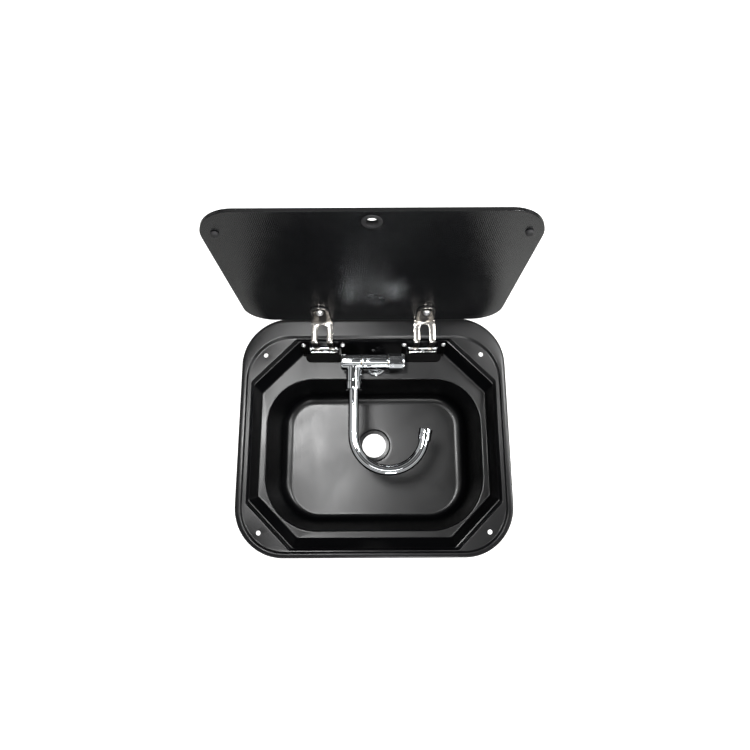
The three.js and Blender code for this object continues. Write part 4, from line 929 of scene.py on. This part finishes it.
chrome = chrome_plate("chrome_plate", "#d9dcdf", "#e3e6e8", 0.03, 0.08)
tap_z, tap_foot = -14, -38.4
barrel_radius, column_radius, rose_radius = 14, 13, 18.4
journal_bore, valve_bore, water_way, shank_bore = 8.3, 10, 4.5, 6
body_left, body_right = -19, 23.4
socket_bore, socket_top = 10.3, -28.4
on_axis = Matrix.Translation((0, tap_y, tap_z)) @ to_right
in_column = Matrix.Translation((tap_x, tap_y, 0))
barrel = turned("barrel", [
    (journal_bore, body_left), (barrel_radius - 0.8, body_left),
    (barrel_radius, body_left + 0.8), (barrel_radius, -11.6), (13.75, -11.3), (13.75, -10.7),
    (barrel_radius, -10.4), (barrel_radius, body_right - 1), (barrel_radius - 1, body_right),
    (valve_bore, body_right), (valve_bore, 1.7), (water_way, 1.7), (water_way, -8.4),
    (journal_bore, -8.4)], 0.35, on_axis, closed=True, steps=96)
column = turned("column", [
    (6.2, tap_foot), (column_radius, tap_foot), (column_radius, -13), (6.2, -13)], 0.3,
    in_column, closed=True, steps=96)
socket = turned("socket", [
    (0, -40), (socket_bore, -40), (socket_bore, socket_top), (shank_bore, socket_top),
    (shank_bore, tap_z), (0, tap_z)], 0.05, in_column, steps=48)
body = boolean(boolean(barrel, column, "UNION"), socket, "DIFFERENCE")
add_piece("tap_casting", shaded(body), chrome, "basin", "chrome", "tap_body")

base = turned("base_flange", [
    (column_radius + 0.3, tap_foot), (rose_radius, tap_foot), (rose_radius, -36.7),
    (17.6, -35.2), (15.2, -33.9), (13.6, -33.6), (column_radius + 0.3, -33.6)], 0.7,
    in_column, closed=True, steps=96)
add_piece("base_rose", shaded(base), chrome, "basin", "chrome", "tap_base_flange")


# ---------------------------------------------------------------- plumbing under the basin
# Turned brass: a threaded shank through the ledge, its clamping nut on a fibre washer, and a
# barbed hose tail held by a union nut. Bare brass keeps the rings of the lathe.

def turned_brass(name, tint, shade):
    """Bare brass: fine rings of the lathe under clouds of tarnish."""
    material, tree, at = new_material(name)
    # Lathe rings are about 0.15 mm apart; they are drawn at 0.8 mm so that they show.
    rings = add_node(tree, "ShaderNodeTexWave", {
        "Vector": at, "Scale": 0.314 / (0.8 * mm), "Distortion": 0.4,
        "Detail": 1.0}, bands_direction="Z")
    tarnish_size = 9 * mm
    tarnish = add_node(tree, "ShaderNodeTexNoise", {
        "Vector": at, "Scale": 1 / tarnish_size, "Detail": 6.0})
    tone = add_node(tree, "ShaderNodeMix", {
        0: tarnish.outputs["Fac"], 6: colour(tint), 7: colour(shade)}, data_type="RGBA")
    rough = add_node(tree, "ShaderNodeMapRange", {
        "Value": tarnish.outputs["Fac"], "To Min": 0.2, "To Max": 0.45})
    bump = add_node(tree, "ShaderNodeBump", {
        "Height": rings.outputs["Fac"], "Strength": 0.12, "Distance": 0.06 * mm})
    metal = add_node(tree, "ShaderNodeBsdfPrincipled", {
        "Base Color": tone.outputs[2], "Metallic": 1.0, "Roughness": rough.outputs[0],
        "Normal": bump.outputs[0]})
    add_node(tree, "ShaderNodeOutputMaterial", {"Surface": metal.outputs[0]})
    return material


brass = turned_brass("turned_brass", "#c29a4f", "#a37f3c")
shank_radius, thread_root, shank_top, shank_end = 10, 9.4, -28.7, -90
thread_top, thread_pitch = -42, 1.8
thread = [(shank_bore, shank_end), (thread_root, shank_end)]
for i in range(int((thread_top - shank_end) / thread_pitch)):
    start = shank_end + i * thread_pitch
    thread += [(thread_root, start + 0.3), (shank_radius, start + 0.8),
               (shank_radius, start + 1.1), (thread_root, start + 1.6)]
thread += [(9.9, -41), (shank_radius, -40), (shank_radius, shank_top), (shank_bore, shank_top)]
bm = bmesh.new()
add_turned(bm, thread, in_column, closed=True, steps=64)
add_piece("threaded_shank", shaded(solid_mesh(bm, "shank"), 25), brass, "basin", "brass",
          "tap_shank")


def flat_ring(name, outer, low, high, radius):
    """A flat ring round the shank."""
    return turned(name, [(socket_bore, low), (outer, low), (outer, high), (socket_bore, high)],
                  radius, in_column, closed=True)


gasket = flat_ring("gasket", 17.4, -39.7, -38.7, 0.2)
add_piece("base_gasket", shaded(gasket), epdm, "basin", "rubber", "tap_base_gasket")
fibre = flat_ring("fibre_washer", 17, -43.2, -41.2, 0.3)
add_piece("fibre_washer", shaded(fibre), epdm, "basin", "rubber", "shank_washer")
nut_low, nut_top, nut_corner = -51.5, -43.5, 17.3
backnut = turned("back_nut", [
    (socket_bore, nut_low), (14.8, nut_low), (nut_corner, nut_low + 1.1, 1),
    (nut_corner, nut_top - 1.1, 1), (14.8, nut_top), (socket_bore, nut_top)], 0.3, in_column,
    closed=True, steps=96, sides=6, flat=15)
add_piece("back_nut", shaded(backnut), brass, "basin", "brass", "shank_nut")
tail_bore, tail_top, tail_end, barbs, barb_pitch = 4, -90.3, -124.3, 3, 7
tail = [(tail_bore, tail_top), (tail_bore, tail_end), (5.2, tail_end)]
for i in range(barbs):
    barb = tail_end + 4.9 + barb_pitch * i
    tail += [(6.6, barb), (5.4, barb + 2.1)]
tail += [(5.4, -92.8), (9.5, -92.8), (9.5, tail_top)]
add_piece("barbed_tail", shaded(turned("tail", tail, 0.25, in_column, closed=True)), brass,
          "basin", "brass", "hose_tail")
union_low, union_top, union_corner = -96.1, -78, 15.5
union_nut = turned("union_nut", [
    (6.9, union_low), (13.3, union_low), (union_corner, union_low + 1.1, 1),
    (union_corner, union_top - 1.1, 1), (13.3, union_top), (socket_bore, union_top),
    (socket_bore, -93.1), (6.9, -93.1)], 0.3, in_column, closed=True, steps=96, sides=6,
    flat=13.5)
add_piece("union_nut", shaded(union_nut), brass, "basin", "brass", "hose_union_nut")


# ---------------------------------------------------------------- valve inside the body
# The cartridge, its spindle nut and the hollow journal that the head turns on are turned brass
# with rubber rings. They are hidden when the tap is whole.

dress(brass, "valve_cartridge", "cartridge_nut", "swivel_journal", "journal_nut",
      "valve_spindle")
dress(epdm, "cartridge_o_ring", "journal_o_ring_1", "journal_o_ring_2", "spout_o_ring")
dress(screw_steel, "knob_screw")


# ---------------------------------------------------------------- knob
# A chrome-plated knob with twelve flats and a thin flange towards the body. A plug closes the
# hole of its screw.

knob_left, knob_right, knob_radius, knob_flange = 24.2, 50.2, 13.8, 15.9
spindle_bore, plug_bore, plug_seat = 4.3, 8.3, 40.2
flats, across_flats = 12, 26.66
knob = turned("knob", [
    (spindle_bore, knob_left), (knob_flange, knob_left), (knob_flange, knob_left + 1.4),
    (14.3, 25.9), (knob_radius, 26.6, 1), (knob_radius, 47.2, 1), (13.4, 47.8),
    (knob_radius, 48.4), (knob_radius, knob_right - 0.6), (13.2, knob_right),
    (plug_bore, knob_right), (plug_bore, plug_seat), (spindle_bore, plug_seat)], 0.35, on_axis,
    closed=True, steps=96, sides=flats, flat=across_flats / 2)
add_piece("faceted_knob", shaded(knob, 18), chrome, "tap_knob", "chrome", "knob")
plug = turned("knob_plug", [(0, 47.4), (8, 47.4), (8, 49.4), (7.2, 49.9), (0, 50)], 0.4, on_axis)
add_piece("knob_plug", shaded(plug), chrome, "tap_knob", "chrome", "knob_end_cap")


# ---------------------------------------------------------------- swivelling head
# A second chrome barrel beside the body, with a socket for the spout. Its end is closed by a
# pressed cap, and a collar nut on the socket holds the spout's bush.

socket_x = -32
drum_left, drum_right, chamber_left = -49.8, -19.4, -40.3
cap_bore, journal_radius, branch_bore, branch_radius = 11.4, 5.3, 8.8, 12.4
out_front = Matrix.Translation((socket_x, tap_y, tap_z)) @ Matrix.Rotation(math.pi / 2, 4, "X")
drum = turned("head_drum", [
    (cap_bore, drum_left), (barrel_radius - 0.4, drum_left), (barrel_radius, drum_left + 0.4),
    (barrel_radius, drum_right - 1), (barrel_radius - 1, drum_right),
    (journal_bore, drum_right), (journal_bore, chamber_left), (journal_radius, chamber_left),
    (journal_radius, -43.3), (cap_bore, -43.3)], 0.3, on_axis, closed=True, steps=96)
branch = turned("branch", [
    (branch_bore, 9), (branch_radius, 9), (branch_radius, 33), (11, 33.3), (11, 38),
    (branch_bore, 38)], 0.4, out_front, closed=True, steps=96)
core = turned("core", [
    (0, -43.2), (journal_radius, -43.2), (journal_radius, chamber_left),
    (journal_bore, chamber_left), (journal_bore, -19), (0, -19)], 0.05, on_axis, steps=48)
head = boolean(drum, branch, "UNION")
head = boolean(head, core, "DIFFERENCE")
add_piece("swivel_casting", shaded(head), chrome, "tap_head", "chrome", "swivel_head")
cap = turned("end_cap", [
    (0, -52.5), (9.5, -52.4), (12.7, -51.9), (13.7, -51), (13.7, -50.1), (11.1, -50.1),
    (11.1, -48.8), (0, -48.8)], 0.6, on_axis, steps=96)
add_piece("pressed_end_cap", shaded(cap), chrome, "tap_head", "chrome", "head_end_cap")
collar_start, collar_end, collar_radius = 33.3, 46.2, 13.4
collar = turned("collar", [
    (11.3, collar_start), (12.9, collar_start), (collar_radius, collar_start + 0.6),
    (collar_radius, collar_end - 1), (12.4, collar_end), (branch_bore, collar_end),
    (branch_bore, 41.4), (11.3, 41.4)], 0.4, out_front, closed=True, steps=96)
add_piece("collar_nut", shaded(collar), chrome, "tap_head", "chrome", "spout_collar")


# ---------------------------------------------------------------- spout
# A drawn and plated tube of 17 mm, bent into a hook, with a threaded aerator on its end. A white
# acetal bush and a perforated acetal disc are pressed in at its two ends.

hook_radius, hook_sweep = 55.9, 169
pipe_start, straight_end, tail_length = 18, 117.8, 6
pipe_radius, pipe_bore = 8.5, 7.1
# Each place on the pipe's middle line, with the way from it to the inside of the bend.
path = [((0, -y), (1, 0)) for y in evenly(pipe_start, straight_end, 6)][:-1]
for a in evenly(180, 180 + hook_sweep, 110):
    turn = math.radians(a)
    spot = (hook_radius + hook_radius * math.cos(turn),
            -straight_end + hook_radius * math.sin(turn))
    path.append((spot, (-math.cos(turn), -math.sin(turn))))
(end_x, end_y), end_in = path[-1]
tail_turn = math.radians(180 - hook_sweep)
tail_way = Vector((math.sin(tail_turn), math.cos(tail_turn), 0))
path.append(((end_x + tail_length * tail_way.x, end_y + tail_length * tail_way.y), end_in))
bm = bmesh.new()
tube_steps = 48
loops = []
for radius in (pipe_radius, pipe_bore):
    for (x, y), (in_x, in_y) in path:
        loop = []
        for k in range(tube_steps):
            angle = 2 * math.pi * k / tube_steps
            inward, up = radius * math.cos(angle), radius * math.sin(angle)
            loop.append(bm.verts.new((socket_x + x + in_x * inward,
                                      tap_y + y + in_y * inward, tap_z + up)))
        loops.append(loop)
count = len(path)
bridges = [(i, i + 1) for i in range(count - 1)]
bridges += [(count + i + 1, count + i) for i in range(count - 1)]
bridges += [(count, 0), (count - 1, 2 * count - 1)]
for a, b in bridges:
    for k in range(tube_steps):
        m = (k + 1) % tube_steps
        bm.faces.new((loops[a][k], loops[a][m], loops[b][m], loops[b][k]))
add_piece("bent_spout", shaded(solid_mesh(bm, "spout")), chrome, "spout", "chrome", "spout_pipe")

on_tail = (Matrix.Translation((socket_x + end_x, tap_y + end_y, tap_z))
           @ tail_way.to_track_quat("Z", "Y").to_matrix().to_4x4())
sleeve_bore, sleeve_radius, sleeve_length = 8.8, 10.8, 19
housing = turned("aerator", [
    (sleeve_bore, 0), (9.9, 0), (sleeve_radius, 0.9), (sleeve_radius, 11.2), (10.45, 11.5),
    (10.45, 12.1), (sleeve_radius, 12.4), (sleeve_radius, sleeve_length - 0.5),
    (sleeve_radius - 0.5, sleeve_length), (sleeve_bore, sleeve_length)], 0.3, on_tail,
    closed=True, steps=96)
add_piece("aerator_sleeve", shaded(housing), chrome, "spout", "chrome", "aerator_housing")


def perforation_tree():
    """Sets pegs on a circle, to cut the holes of the aerator's disc."""
    group = bpy.data.node_groups.new("perforations", "GeometryNodeTree")
    for name, kind in (("Peg", "NodeSocketGeometry"), ("Holes", "NodeSocketInt"),
                       ("Circle", "NodeSocketFloat"), ("Finish", "NodeSocketMaterial")):
        group.interface.new_socket(name, in_out="INPUT", socket_type=kind)
    group.interface.new_socket("Pegs", in_out="OUTPUT", socket_type="NodeSocketGeometry")
    given = add_node(group, "NodeGroupInput")
    spots = add_node(group, "GeometryNodeMeshCircle", {
        "Vertices": given.outputs["Holes"], "Radius": given.outputs["Circle"]})
    pegs = add_node(group, "GeometryNodeInstanceOnPoints", {
        "Points": spots.outputs[0], "Instance": given.outputs["Peg"]})
    real = add_node(group, "GeometryNodeRealizeInstances", {0: pegs.outputs[0]})
    painted = add_node(group, "GeometryNodeSetMaterial", {
        "Geometry": real.outputs[0], "Material": given.outputs["Finish"]})
    add_node(group, "NodeGroupOutput", {0: painted.outputs[0]})
    return group


def moulded_acetal():
    """White acetal: waxy, slightly translucent, with a trace of flow from the mould."""
    material, tree, at = new_material("white_acetal")
    flow_size = 6 * mm
    flow = add_node(tree, "ShaderNodeTexNoise", {
        "Vector": at, "Scale": 1 / flow_size, "Detail": 3.0})
    tone = add_node(tree, "ShaderNodeMix", {
        0: flow.outputs["Fac"], 6: colour("#dedcd4"), 7: colour("#e8e6df")}, data_type="RGBA")
    rough = add_node(tree, "ShaderNodeMapRange", {
        "Value": flow.outputs["Fac"], "To Min": 0.3, "To Max": 0.5})
    body = add_node(tree, "ShaderNodeBsdfPrincipled", {
        "Base Color": tone.outputs[2], "Roughness": rough.outputs[0], "IOR": 1.48})
    add_node(tree, "ShaderNodeOutputMaterial", {"Surface": body.outputs[0]})
    return material


acetal = moulded_acetal()
dress(acetal, "spout_bush")
water_holes, hole_radius, hole_circle = 6, 1.1, 4.6
peg = turned("peg", [(0, 10), (hole_radius, 10), (hole_radius, 22), (0, 22)], 0.05, steps=20)
pegs = grown(peg, perforation_tree(), Holes=water_holes, Circle=hole_circle * mm, Finish=acetal)
disc = turned("aerator_disc", [
    (0, 13.7), (8.5, 13.7), (8.5, 18.3), (8.1, 18.7), (6.6, 18.7), (6.2, 18.2), (0, 18.2)], 0.25)
disc = boolean(disc, pegs, "DIFFERENCE")
disc.transform(Matrix.Scale(mm, 4) @ on_tail @ Matrix.Scale(1 / mm, 4))
add_piece("perforated_disc", shaded(disc), acetal, "spout", "plastic", "aerator_insert")
